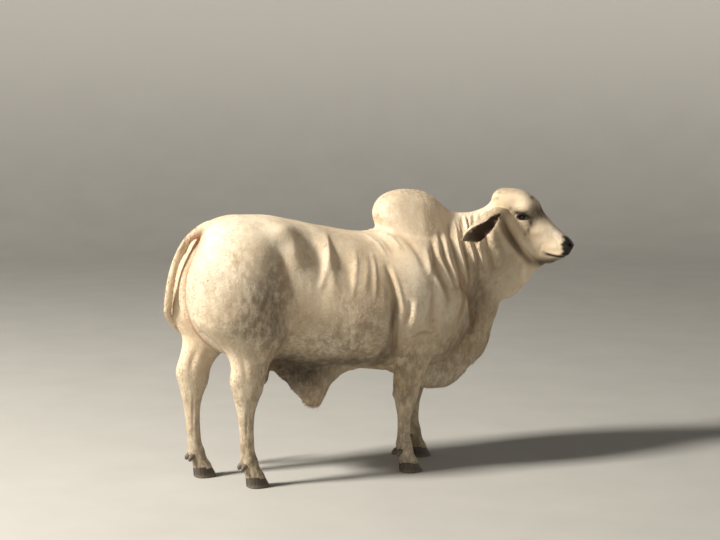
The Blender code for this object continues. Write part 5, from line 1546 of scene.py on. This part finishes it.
class Shader:
    """Builds one material's nodes, with the shader's own sockets set directly."""

    def __init__(self, name, roughness, specular):
        self.material = bpy.data.materials.new(name)
        self.material.use_nodes = True
        self.tree = self.material.node_tree
        self.surface = self.tree.nodes["Principled BSDF"]
        self.feed(self.surface, {"Roughness": roughness, "Specular IOR Level": specular})
        self.place = self.node("TexCoord", {}).outputs["Object"]

    def feed(self, node, inputs):
        """Sets or links a node's inputs, by name or number."""
        for key, value in inputs.items():
            socket = node.inputs[key]
            if isinstance(value, bpy.types.NodeSocket):
                self.tree.links.new(value, socket)
            elif socket.type == "RGBA":
                socket.default_value = (*value, 1.0)
            else:
                socket.default_value = value

    def node(self, kind, inputs, **settings):
        """A new node."""
        node = self.tree.nodes.new("ShaderNode" + kind)
        for key, value in settings.items():
            setattr(node, key, value)
        self.feed(node, inputs)
        return node

    def mask(self, name):
        """A number stored in the mesh's points."""
        return self.node("Attribute", {}, attribute_name=name).outputs["Fac"]

    def stretched(self, *sizes):
        """The object's places, scaled along each axis."""
        return self.node("Mapping", {"Scale": sizes, "Vector": self.place}).outputs["Vector"]

    def noise(self, sizes, detail=4.0, rough=0.55):
        """Smooth noise about 0.5."""
        inputs = {"Scale": 1.0, "Detail": detail, "Roughness": rough}
        return self.node("TexNoise", {**inputs, "Vector": self.stretched(*sizes)}).outputs["Fac"]

    def cells(self, size):
        """Distance within cells of a pebbled surface."""
        inputs = {"Scale": 1.0, "Vector": self.stretched(size, size, size)}
        return self.node("TexVoronoi", inputs).outputs["Distance"]

    def math(self, operation, first, second):
        """Arithmetic on two values."""
        return self.node("Math", {0: first, 1: second}, operation=operation).outputs[0]

    def product(self, value, *more):
        """All the values multiplied."""
        for other in more:
            value = self.math("MULTIPLY", value, other)
        return value

    def ramp(self, value, *stops):
        """A curve through (place, level) stops."""
        node = self.node("ValToRGB", {"Fac": value})
        while len(node.color_ramp.elements) < len(stops):
            node.color_ramp.elements.new(0.5)
        for element, (place, level) in zip(node.color_ramp.elements, stops):
            element.position = place
            colour = (level, level, level) if isinstance(level, float) else level
            element.color = (*colour, 1.0)
        return node.outputs["Color"]

    def mixed(self, share, first, second, blend="MIX"):
        """One colour over another by a share."""
        inputs = {0: share, 6: first, 7: second}
        return self.node("Mix", inputs, data_type="RGBA", blend_type=blend).outputs[2]

    def tinted(self, colour, tint, *shares):
        """The colour, covered by a tint where all the shares are high."""
        return self.mixed(self.product(*shares), colour, tint)

    def bump(self, height, strength, depth, below=None):
        """A bump from a height, laid over another."""
        inputs = {"Strength": strength, "Distance": depth, "Height": height}
        if below is not None:
            inputs["Normal"] = below
        return self.node("Bump", inputs).outputs["Normal"]

    def finish(self, colour, normal=None, roughness=None):
        """Links the results to the surface."""
        results = {"Base Color": colour, "Normal": normal, "Roughness": roughness}
        given = {key: value for key, value in results.items() if value is not None}
        self.feed(self.surface, given)
        return self.material


def hide_colour(shader):
    """The colours of the coat, alike for the skin and its tufts, with painted light and shade."""
    large = shader.ramp(shader.noise((2.1, 2.6, 2.4), 5.0, 0.6), (0.36, 0.0), (0.66, 1.0))
    colour = shader.mixed(large, CREAM, PALE)
    small = shader.ramp(shader.noise((17.0, 17.0, 11.0), 6.0, 0.68), (0.46, 0.0), (0.74, 1.0))
    colour = shader.tinted(colour, TAN, small, 0.38)
    # Painted shade in the grooves of the folds
    colour = shader.tinted(colour, TAN, shader.mask("sunk"), 0.85)
    break_up = shader.noise((26.0, 26.0, 15.0), 6.0, 0.72)
    patchy = shader.ramp(break_up, (0.4, 0.32), (0.58, 1.0))
    soft = shader.ramp(break_up, (0.3, 0.8), (0.55, 1.0))
    # Tints over the coat, several of them painted light and shade
    for name, tint, texture, most in (
        ("under", UNDER_SHADE_TINT, patchy, 0.6),
        ("pale", SUNLIT_HAIR, patchy, 0.85),
        ("rose", ROSE, patchy, 0.9),
        ("dust", DUST_AND_SHADE_TINT, patchy, 0.8),
        ("mud", MUD_AND_SHADE_TINT, patchy, 0.85),
        ("smoke", SMOKE, patchy, 0.95),
        ("brown", BROWN_SHADE_AND_MARK_TINT, soft, 0.95),
        ("soot", BLACK_MARK_AND_SHADE, soft, 1.0),
    ):
        colour = shader.tinted(colour, tint, shader.mask(name), texture, most)
    return shader.tinted(colour, EAR_DARK, shader.mask("inner"))


def hair_grain(shader):
    """Fine streaks that run with the lie of the hair."""
    along = shader.noise((150.0, 420.0, 420.0), 3.0, 0.6)
    down = shader.noise((420.0, 420.0, 130.0), 3.0, 0.6)
    return shader.mixed(shader.mask("down"), along, down)


def hide_material():
    """The bull's hide: short cream hair over loose dark skin, bare and moist on the nose."""
    shader = Shader("hide", 0.62, 0.3)
    colour = hide_colour(shader)
    grain = hair_grain(shader)
    fleck = shader.ramp(grain, (0.3, (0.8, 0.76, 0.7)), (0.62, WHITE))
    colour = shader.mixed(0.55, colour, fleck, "MULTIPLY")
    bare = shader.math("MAXIMUM", shader.mask("pad"), shader.mask("lid"))
    bare = shader.math("MAXIMUM", bare, shader.mask("hole"))
    gleam = shader.noise((60.0, 60.0, 60.0), 4.0)
    moist = shader.ramp(gleam, (0.35, BLACK_SKIN), (0.75, (0.036, 0.029, 0.026)))
    colour = shader.mixed(bare, colour, moist)
    rough = shader.ramp(bare, (0.0, 0.66), (0.7, 0.42))
    wrinkle = shader.product(shader.noise((26.0, 26.0, 9.0), 5.0, 0.6), shader.mask("loose"))
    normal = shader.bump(wrinkle, 0.55, 0.01)
    normal = shader.bump(shader.noise((13.0, 13.0, 13.0), 3.0, 0.5), 0.25, 0.006, normal)
    hair = shader.product(grain, shader.math("SUBTRACT", 1.0, bare))
    normal = shader.bump(hair, 0.45, 0.0016, normal)
    pebbles = shader.product(shader.cells(300.0), bare)
    return shader.finish(colour, shader.bump(pebbles, 0.5, 0.0012, normal), rough)


def tuft_material():
    """The coat's raised hair, in the colours of the hide."""
    shader = Shader("coat_tufts", 0.58, 0.25)
    colour = hide_colour(shader)
    tip = shader.ramp(shader.mask("tip"), (0.0, (0.94, 0.93, 0.91)), (1.0, WHITE))
    colour = shader.mixed(0.6, colour, tip, "MULTIPLY")
    own = shader.ramp(shader.mask("tone"), (0.0, (0.92, 0.9, 0.86)), (1.0, WHITE))
    colour = shader.mixed(0.7, colour, own, "MULTIPLY")
    return shader.finish(colour, shader.bump(hair_grain(shader), 0.3, 0.001))


def dark_hair_material():
    """Black-brown hair of the switch and lashes, with sun-bleached tips."""
    shader = Shader("dark_hair", 0.5, 0.35)
    grain = shader.noise((260.0, 260.0, 40.0), 4.0, 0.6)
    colour = shader.ramp(grain, (0.3, (0.018, 0.013, 0.01)), (0.75, (0.085, 0.062, 0.046)))
    colour = shader.tinted(colour, (0.16, 0.115, 0.08), shader.mask("tip"), 0.35)
    return shader.finish(colour, shader.bump(grain, 0.4, 0.001))


def horn_material():
    """Dark hoof horn with growth rings, dull and scuffed towards the ground."""
    shader = Shader("hoof_horn", 0.42, 0.45)
    rings = shader.noise((9.0, 9.0, 330.0), 4.0, 0.6)
    streaks = shader.noise((170.0, 170.0, 16.0), 4.0, 0.6)
    colour = shader.ramp(streaks, (0.3, (0.03, 0.025, 0.021)), (0.75, (0.115, 0.092, 0.07)))
    scuffs = shader.noise((55.0, 55.0, 55.0), 6.0, 0.7)
    colour = shader.tinted(colour, (0.26, 0.2, 0.145), shader.mask("low"), scuffs)
    rough = shader.ramp(shader.mask("low"), (0.0, 0.36), (1.0, 0.68))
    return shader.finish(colour, shader.bump(rings, 0.5, 0.0012), rough)


def eye_material():
    """A dark wet eye: a level oval pupil in a brown iris."""
    shader = Shader("eye_wet", 0.045, 0.6)
    shader.feed(shader.surface, {"Coat Weight": 0.6, "Coat Roughness": 0.02})
    fibres = shader.noise((420.0, 420.0, 420.0), 3.0, 0.6)
    iris = shader.ramp(fibres, (0.3, (0.01, 0.006, 0.004)), (0.7, (0.03, 0.016, 0.009)))
    colour = shader.tinted(iris, (0.0025, 0.0025, 0.004), shader.mask("pupil"))
    return shader.finish(shader.tinted(colour, (0.09, 0.055, 0.042), shader.mask("white")))


def make_eye(side):
    """One eyeball with a bulging cornea, an iris and a pupil."""
    obj = ball("eyeball_" + side, EYE_RADIUS - EYE_PLAY, 48, 64)
    mesh = obj.data
    points = points_of(mesh)
    _, y, z = points.T
    radius = np.hypot(y, z)
    front = points[:, 0] > 0
    stored(mesh, "pupil", front * ease((1.0 - np.hypot(y / 0.0078, z / 0.0042)) * 4))
    stored(mesh, "white", np.where(front, ease((radius - 0.0148) / 0.0016), 1.0))
    points[:, 0] += 0.0009 * front * ease((0.0135 - radius) / 0.01)
    set_points(mesh, points)
    return placed(obj, head_matrix() @ eye_matrix(side))


def claw_mesh(name, x, y, side_sign, toe, rows=26, around=56):
    """One claw of a hoof, ringed by growth, with a bevelled sole and a rounded toe."""
    rings = []
    for i in range(rows):
        share = i / (rows - 1)
        z = (CORONET_HEIGHT + 0.004) * (1 - share)
        front = 0.048 + toe * share + 0.0015 * math.sin(math.pi * share)
        heel = -0.051 + 0.004 * share
        middle, half = (front + heel) / 2, (front - heel) / 2
        width = 0.0525 + 0.006 * share + 0.0006 * math.sin(30 * share) * (1 - share)
        edge = min(1.0, 0.9 + 0.1 * math.sqrt(min(1.0, (1 - share) / 0.05)))
        ring = []
        for k in range(around):
            turn = 2 * math.pi * k / around
            c, s = math.cos(turn), math.sin(turn)
            if s >= 0:
                along, out = c, width * s**0.8 * (1 - 0.16 * c) * edge
            else:
                along, out = c * (1 - 0.12 * s * s), 0.0016 * s * s
            out = y + side_sign * (CLAW_GAP / 2 + out)
            ring.append((x + middle + half * along * edge, out, z))
        rings.append(ring)
    obj = loft(name, np.array(rings), flat_ends=True)
    stored(obj.data, "low", ease(1.0 - points_of(obj.data)[:, 2] / 0.03))
    return obj


def dewclaw_mesh(name, x, y, z, lean, rows=24, around=28):
    """A short horn behind the fetlock, pointing down and back."""
    stations = (
        (x + 0.04, y, z + 0.017, 0.0125),
        (x + 0.02, y, z + 0.006, 0.0152),
        (x + 0.008, y + 0.3 * lean, z - 0.006, 0.0134),
        (x + 0.001, y + 0.5 * lean, z - 0.015, 0.007),
        (x + 0.0, y + 0.5 * lean, z - 0.017, 0.002),
    )
    across, up = np.sin(circle(around)), np.cos(circle(around))
    rings = []
    for i, (a, b, c, radius) in enumerate(fill_rows(stations, rows)):
        radius *= 1 + 0.025 * math.sin(1.9 * i)
        rings.append(xyz(a - 0.6 * radius * up, b + radius * across, c + 0.8 * radius * up))
    obj = loft(name, np.array(rings))
    stored(obj.data, "low", np.full(len(obj.data.vertices), 0.55))
    return obj


def make_feet():
    """The claws and dewclaws of every leg, with the nodes that they stand for."""
    made = []
    for leg, (middle, toe, back) in FEET.items():
        for side, side_sign in SIDE_SIGN.items():
            x, y = middle + STANCE[leg][side], FOOT_SPACING * side_sign
            for which, out in (("outer", side_sign), ("inner", -side_sign)):
                tail = f"{leg}_{side}_{which}"
                made.append((claw_mesh("hoof_" + tail, x, y, out, toe), "claw_" + tail))
                behind, aside = x - back, y + out * DEWCLAW_SPACING
                lean = out * DEWCLAW_LEAN
                horn = dewclaw_mesh("spur_" + tail, behind, aside, DEWCLAW_HEIGHT, lean)
                made.append((horn, "dewclaw_" + tail))
    return made


def taken(roots, take):
    """The roots that the test picks."""
    return {
        key: taken(values, take) if isinstance(values, dict) else values[take]
        for key, values in roots.items()
    }


class Ground:
    """The skin's triangles, from which tufts grow."""

    def __init__(self, mesh, straight):
        mesh.calc_loop_triangles()
        self.corners = column(mesh.loop_triangles, "vertices", 3, np.int64)
        self.points, self.straight = points_of(mesh), straight
        self.normals = column(mesh.vertex_normals, "vector", 3)
        a, b, c = (self.points[corner] for corner in self.corners.T)
        self.area = np.linalg.norm(np.cross(b - a, c - a), axis=1) / 2
        self.middle = straight[self.corners].mean(axis=1)
        self.masks = {
            name: column(mesh.attributes[name].data, "value", 1, np.float32).astype(float)
            for name in (*TUFT_MASKS, *BARE_MASKS)
        }

    def scatter(self, density, seed):
        """Random roots, with this many per square metre at each place."""
        random = np.random.default_rng(seed)
        bare = [self.masks[name][self.corners].max(axis=1) for name in BARE_MASKS]
        share = self.area * density(self.middle) * (np.maximum.reduce(bare) < BARE_LIMIT)
        count = int(share.sum())
        chosen = random.choice(len(share), count, p=share / share.sum())
        weight = random.dirichlet((1, 1, 1), count)
        corners = self.corners[chosen]

        def read(values):
            """The values of the skin's points, read at the roots."""
            at_corners = values[corners]
            own = weight if values.ndim == 1 else weight[:, :, None]
            return (at_corners * own).sum(axis=1)

        roots = {
            "place": read(self.points),
            "normal": unit(read(self.normals)),
            "straight": read(self.straight),
            "masks": {name: read(values) for name, values in self.masks.items()},
        }
        return roots, random


def combed(roots):
    """The lie of the coat at each root, in the turned body."""
    straight = roots["straight"]
    s, y, z = straight.T
    normals = rotated(roots["normal"], s, back=True)
    way = lie_of_coat(straight, normals)
    on_ear = (s < 0.845) & (s > 0.56) & (np.abs(y) > 0.115) & (z > 1.25) & (z < 1.6)
    x_way, y_way, z_way = np.array(EAR_LINE[-1]) - np.array(EAR_LINE[1])
    way[on_ear] = np.array([x_way, 0.0, z_way]) + np.outer(np.sign(y[on_ear]), (0.0, y_way, 0.0))
    near, path, best, away = tail_gap(straight)
    best = np.minimum(best, len(path) - 2)
    tail = away < TAIL_LIE_REACH
    way[near[tail]] = (path[best + 1] - path[best])[tail, :3]
    return rotated(along_skin(way, normals), s)


def lock_faces(stations):
    """The triangles of one lock: a three-sided tube, shut at its root and pointed."""
    body = stations - 1
    faces = []
    for i in range(0, 3 * (body - 1), 3):
        for j in range(3):
            k = (j + 1) % 3
            a, b, c, d = i + j, i + k, i + 3 + k, i + 3 + j
            faces += [(a, d, c), (a, c, b)]
    last = 3 * (body - 1)
    faces += [(last + j, 3 * body, last + (j + 1) % 3) for j in range(3)]
    return np.array([*faces, (0, 1, 2)])


def lock_mesh(name, roots, paths, widths, tone, flat=0.35):
    """Thin tapered locks along paths as one mesh, each closed, with its root's marks."""
    count, stations = paths.shape[:2]
    body = stations - 1
    ahead = unit(np.gradient(paths, axis=1))
    across = unit(np.cross(ahead, roots["normal"][:, None, :]))
    aside = across * widths[:, :, None]
    out = np.cross(across, ahead) * widths[:, :, None] * flat
    ring = np.stack([paths + aside, paths + out, paths - aside], axis=2)
    points = np.concatenate([ring[:, :body].reshape(count, -1, 3), paths[:, -1:]], axis=1)
    size = points.shape[1]
    index = (lock_faces(stations)[None] + size * np.arange(count)[:, None, None]).reshape(-1)
    mesh = bpy.data.meshes.new(name)
    mesh.vertices.add(count * size)
    mesh.vertices.foreach_set("co", points.astype(np.float32).ravel())
    mesh.loops.add(len(index))
    mesh.loops.foreach_set("vertex_index", index.astype(np.int32))
    mesh.polygons.add(len(index) // 3)
    mesh.polygons.foreach_set("loop_start", np.arange(0, len(index), 3, dtype=np.int32))
    mesh.update(calc_edges=True)
    along = np.concatenate([np.repeat(np.arange(body) / body, 3), [1.0]])
    side = np.concatenate([np.tile([0.0, 0.5, 1.0], body), [0.5]])
    stored(mesh, "tip", np.tile(along, count))
    stored(mesh, "tone", np.repeat(tone, size))
    for key, values in roots["masks"].items():
        stored(mesh, key, np.repeat(values, size))
    patch = UV_PATCH * (np.stack([side, along], axis=1) - 0.5)
    home = unwrap(roots["straight"])[:, None, :] + patch[None]
    set_uv(mesh, np.clip(home.reshape(-1, 2), 0.0, 1.0))
    return linked(name, mesh)


def tuft_paths(roots, random, length, lift_off, stations=3, droop=0.0):
    """Paths that leave the skin, rise a little and lie along the coat."""
    count = len(length)
    way, normal = combed(roots), roots["normal"]
    across = np.cross(way, normal)
    swing = random.normal(0.0, 0.16, count)[:, None]
    way = way * np.cos(swing) + across * np.sin(swing)
    share = np.linspace(0, 1, stations)[None, :, None]
    rise = (lift_off * random.uniform(0.6, 1.4, count))[:, None, None]
    bend = random.normal(0.0, 0.1, count)[:, None, None]
    long = length[:, None, None]
    paths = roots["place"][:, None, :] + way[:, None, :] * long * share
    paths += normal[:, None, :] * (rise * np.sin(1.9 * share) - 0.0012 * (1 - share) ** 2)
    paths += across[:, None, :] * long * bend * share**2
    paths[:, :, 2] -= droop * (long * share**2)[:, :, 0]
    return paths


def fineness(places):
    """How far each place belongs to the head and to the feet, whose hair is finer."""
    s, _, z = places.T
    return ease((s - HEAD_START) / 0.06), ease((0.5 - z) / 0.1)


def coat_density(middle):
    """Short tufts for each square metre."""
    head, foot = fineness(middle)
    return TUFTS + MORE_TUFTS * np.maximum(head, 0.5 * foot)


def short_coat(ground):
    """The short tufts all over, in pieces from tail to nose."""
    roots, random = ground.scatter(coat_density, COAT_SEED)
    s = roots["straight"][:, 0]
    head, foot = fineness(roots["straight"])
    length = TUFT_LENGTH - 0.009 * head - 0.006 * foot
    length = length * random.uniform(0.7, 1.3, len(s)) * (1 - 0.3 * roots["masks"]["sunk"])
    paths = tuft_paths(roots, random, length, TUFT_LIFT - 0.0004 * head - 0.0002 * foot)
    widths = (TUFT_WIDTH - 0.00045 * head) * random.uniform(0.8, 1.3, len(s))
    widths = np.outer(widths, (1.0, 0.9, 0.1))
    tone = random.uniform(0, 1, len(s))
    borders = np.quantile(s, np.linspace(0, 1, COAT_PIECES + 1))
    borders[-1] = np.inf
    made = []
    for k, (start, end) in enumerate(zip(borders, borders[1:])):
        take = (s >= start) & (s < end)
        piece = lock_mesh(f"coat_{k}", taken(roots, take), paths[take], widths[take], tone[take])
        made.append(piece)
    return made


def fringe_place(name, middle):
    """Where a fringe grows, from 0 to 1."""
    s, _, z = middle.T
    own, away, _ = own_places(middle).T
    if name.startswith("ear"):
        return (s < 0.84) & (s > 0.56) & (away > 0.12) & (z > 1.25) & (z < 1.6)
    if name == "tail_hair":
        near, _, _, gap = tail_gap(middle)
        tail = np.zeros(len(s))
        tail[near] = gap < TAIL_HAIR_REACH
        return tail
    edge = 0.98 - 1.15 * np.maximum(0.6 - s, 0)
    heel = own - np.where(own < -0.5, -0.88, 0.21)
    return {
        "hump_crest": ease((z - 1.545) / 0.04) * (s < 0.62) * (away < 0.11),
        "dewlap_edge": ease((0.04 - away) / 0.02) * (z < edge) * (s > 0.1),
        "belly_line": ease((0.07 - away) / 0.04) * (z < 0.66) * (s < 0.1) * (s > -0.6),
        "poll": ease((z - 1.56) / 0.03) * (s > 0.72) * (s < 0.93),
        "pastern": ((z < 0.135) & (z > 0.06)) * ease((0.02 - heel) / 0.03),
        "sheath_end": (s < -0.3) * (s > -0.41) * ease((0.435 - z) / 0.04) * (away < 0.06),
        "chin": ease((1.195 - z) / 0.02) * (s > 1.04) * (away < 0.06),
    }[name]


def fringes(ground):
    """The longer hair where it breaks the form."""
    made = []
    for name, many, length, width, lift_off, droop, stations, seed in FRINGES:
        roots, random = ground.scatter(
            lambda middle: 1e-9 + many * fringe_place(name, middle), seed
        )
        if name.startswith("ear"):
            dark = name == "ear_inside"
            roots = taken(roots, (roots["masks"]["inner"] > 0.5) == dark)
            roots["masks"]["inner"] = np.full(len(roots["place"]), 0.9 if dark else 0.0)
        count = len(roots["place"])
        if not count:
            continue
        long = length * random.uniform(0.6, 1.35, count)
        paths = tuft_paths(roots, random, long, lift_off, stations, droop)
        taper = 1 - 0.9 * np.linspace(0, 1, stations) ** 1.6
        widths = np.outer(width * random.uniform(0.7, 1.3, count), taper)
        tone = random.uniform(0, 1, count)
        made.append(lock_mesh("hair_" + name, roots, paths, widths, tone))
    return made


def lashes():
    """Lashes along the upper lids, with a few along the lower ones."""
    random = np.random.default_rng(LASH_SEED)
    paths, facing, straight = [], [], []
    for side in SIDE_SIGN:
        along, up, out = eye_axes(side)
        for k in range(LASHES):
            upper = k < UPPER_LASHES
            span = (0.06, 0.94) if upper else (0.15, 0.85)
            turn = math.pi * random.uniform(*span) * (1 if upper else -1)
            a, b = math.cos(turn), math.sin(turn)
            depth = random.uniform(0.0185, 0.0205)
            root = with_side(EYE_PLACE, side) + along * (a * LID_OPENING[0] * 1.04)
            root += up * (b * LID_OPENING[1] * 1.08 - LID_DROP) + out * depth
            length = random.uniform(0.011, 0.016) if upper else random.uniform(0.005, 0.008)
            lean = along * (0.5 * a + random.normal(0, 0.12))
            path = []
            for share in (0.0, 0.35, 0.7, 1.0):
                droop = -0.28 * share + 0.5 * share * share if upper else -0.5 * share
                path.append(root + (out * share * 0.85 + lean * share + up * droop) * length)
            paths.append(path)
            facing.append(up)
            straight.append(root)
    move = np.array(head_matrix())
    paths = np.array(paths) @ move[:3, :3].T + move[:3, 3]
    facing = np.array(facing) @ move[:3, :3].T
    roots = {"normal": facing, "straight": np.array(straight), "masks": {}}
    count = len(paths)
    widths = LASH_WIDTH * np.array([[1.0, 0.9, 0.6, 0.1]]) * random.uniform(0.8, 1.3, (count, 1))
    return lock_mesh("lashes", roots, paths, widths, random.uniform(0, 1, count), 0.8)


def switch():
    """The brush at the tail's end: long dark locks that spread and close to a point."""
    random = np.random.default_rng(SWITCH_SEED)
    x, y, z, _ = tail_row(1.0)
    paths, widths, facing = [], [], []
    for _ in range(SWITCH_LOCKS):
        turn = random.uniform(0, 2 * math.pi)
        out = np.array([math.cos(turn), math.sin(turn), 0.0])
        inner = random.uniform(0.0, 1.0) ** 0.6
        height = random.uniform(-0.05, 0.085)
        length = random.uniform(0.19, 0.285) - 0.35 * max(0.0, -height)
        wave = random.normal(0, 0.006, 4)
        path, wide = [], []
        for share in np.linspace(0, 1, 9):
            spread = math.sin(math.pi * (0.14 + 0.66 * share))
            reach = (0.008 + 0.026 * inner) * spread + 0.004
            place = np.array([x + 0.015 * share**2, y, z + height - length * share]) + out * reach
            place[0] += wave[0] * math.sin(5 * share + 40 * wave[2]) * share
            place[1] += wave[1] * math.sin(6 * share + 40 * wave[3]) * share
            path.append(place)
            taper = (1 - 0.93 * share**1.5) * min(0.5 + share, 1.0)
            wide.append(SWITCH_LOCK_WIDTH * taper)
        paths.append(path)
        widths.append(np.array(wide) * random.uniform(0.5, 1.2))
        facing.append(out)
    paths = np.array(paths)
    roots = {"normal": np.array(facing), "straight": paths[:, 0], "masks": {}}
    tone = random.uniform(0, 1, len(paths))
    locks = lock_mesh("switch_locks", roots, paths, np.array(widths), tone, 0.3)
    stations = [
        (*tail_row(0.86)[:3], 0.016),
        (*tail_row(0.94)[:3], 0.018),
        (x, y, z, 0.019),
        (x + 0.006, y, z - 0.07, 0.017),
        (x + 0.012, y, z - 0.15, 0.009),
        (x + 0.016, y, z - 0.2, 0.002),
    ]
    core = tube("switch_core", stations, 24, 6)
    for name in ("tip", "tone"):
        stored(core.data, name, np.zeros(len(core.data.vertices)))
    return locks, core


def ride(obj, material, slot, *nodes):
    """Sets a finished piece in the frame, for the nodes that it stands for."""
    mesh = obj.data
    mesh.materials.clear()
    mesh.materials.append(material)
    placed(obj, Matrix.Translation(TO_MIDDLE))
    count = len(mesh.polygons)
    mesh.polygons.foreach_set("material_index", np.zeros(count, np.int32))
    mesh.polygons.foreach_set("use_smooth", np.ones(count, bool))
    mesh.update()
    if nodes:
        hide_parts(*nodes)
    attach(obj, "root")


def make_floor():
    """A plain pale floor that sweeps up far behind, all round."""
    level = FLOOR_RADII[-1]
    profile = [(radius, 0.0) for radius in FLOOR_RADII]
    for k in range(1, FLOOR_BEND_STEPS + 1):
        turn = math.pi / 2 * k / FLOOR_BEND_STEPS
        profile.append((level + FLOOR_BEND * math.sin(turn), FLOOR_BEND * (1 - math.cos(turn))))
    profile.append((level + FLOOR_BEND, FLOOR_TOP))
    around = FLOOR_AROUND
    angle = circle(around)
    points = [(0.0, 0.0, 0.0)]
    for radius, height in profile:
        points += [(radius * c, radius * s, height) for c, s in zip(np.cos(angle), np.sin(angle))]
    pairs = [(k, (k + 1) % around) for k in range(around)]
    faces = [(0, 1 + j, 1 + k) for j, k in pairs]
    for start in range(1, 1 + (len(profile) - 1) * around, around):
        for j, k in pairs:
            a, b = start + j, start + k
            faces.append((a, a + around, b + around, b))
    mesh = bpy.data.meshes.new("floor")
    mesh.from_pydata(points, [], faces)
    mesh.polygons.foreach_set("use_smooth", np.ones(len(faces), bool))
    stored(mesh, "far", ease(points_of(mesh)[:, 2] / 4.0))
    shader = Shader("pale_floor", 0.85, 0.2)
    cloud = shader.noise((2.0, 2.0, 2.0), 3.0)
    tint = shader.ramp(cloud, (0.3, (0.46, 0.455, 0.44)), (0.7, (0.49, 0.485, 0.47)))
    shade = shader.tinted(tint, (0.8, 0.79, 0.77), shader.mask("far"))
    mesh.materials.append(shader.finish(shade))
    linked("floor", mesh)


def make_lights():
    """A large key from above and behind, a wide fill and a pale world."""
    for name, place, aim, size, power, colour in LIGHTS:
        data = bpy.data.lights.new(name, "AREA")
        data.shape = "SQUARE"
        data.size = size
        data.energy = power
        data.color = colour
        light = linked(name, data)
        light.location = place
        light.rotation_euler = (Vector(aim) - Vector(place)).to_track_quat("-Z", "Y").to_euler()
    world = bpy.data.worlds.new("pale")
    world.use_nodes = True
    background = world.node_tree.nodes["Background"]
    background.inputs["Color"].default_value = WORLD_COLOUR
    background.inputs["Strength"].default_value = WORLD_STRENGTH
    bpy.context.scene.world = world
    bpy.context.scene.view_settings.view_transform = "Standard"


def make_camera():
    """The photograph's view: from the right and a little behind, above the back."""
    turn = VIEW_TURN
    pitch = math.atan((VIEW_MIDDLE - VIEW_HORIZON) / VIEW_FOCAL)
    yaw = math.atan(VIEW_ASIDE / VIEW_FOCAL)
    data = bpy.data.cameras.new("camera")
    data.sensor_width = SENSOR_WIDTH
    data.lens = SENSOR_WIDTH * VIEW_FOCAL / VIEW_WIDTH
    camera = linked("camera", data)
    place = (-math.sin(turn) * VIEW_DISTANCE, -math.cos(turn) * VIEW_DISTANCE, VIEW_HEIGHT)
    camera.location = Vector(place) + TO_MIDDLE
    level = math.cos(pitch)
    aim = Vector((math.sin(turn - yaw) * level, math.cos(turn - yaw) * level, -math.sin(pitch)))
    camera.rotation_euler = aim.to_track_quat("-Z", "Y").to_euler()
    bpy.context.scene.camera = camera


def main():
    """Makes every piece, then the stage."""
    skin, straight = make_skin()
    skin.name = "hide"
    set_uv(skin.data, unwrap(straight))
    ground = Ground(skin.data, straight)
    ride(skin, hide_material(), "coat", *FLESH)
    tufts, dark, horn, wet = tuft_material(), dark_hair_material(), horn_material(), eye_material()
    for piece in short_coat(ground) + fringes(ground):
        ride(piece, tufts, "coat")
    ride(lashes(), dark, "switch_hair")
    locks, core = switch()
    ride(locks, dark, "switch_hair", "tail_switch")
    ride(core, dark, "switch_hair")
    for side in SIDE_SIGN:
        ride(make_eye(side), wet, "eye", "eye_" + side)
    for piece, node in make_feet():
        ride(piece, horn, "horn", node)
    make_floor()
    make_lights()
    make_camera()


main()
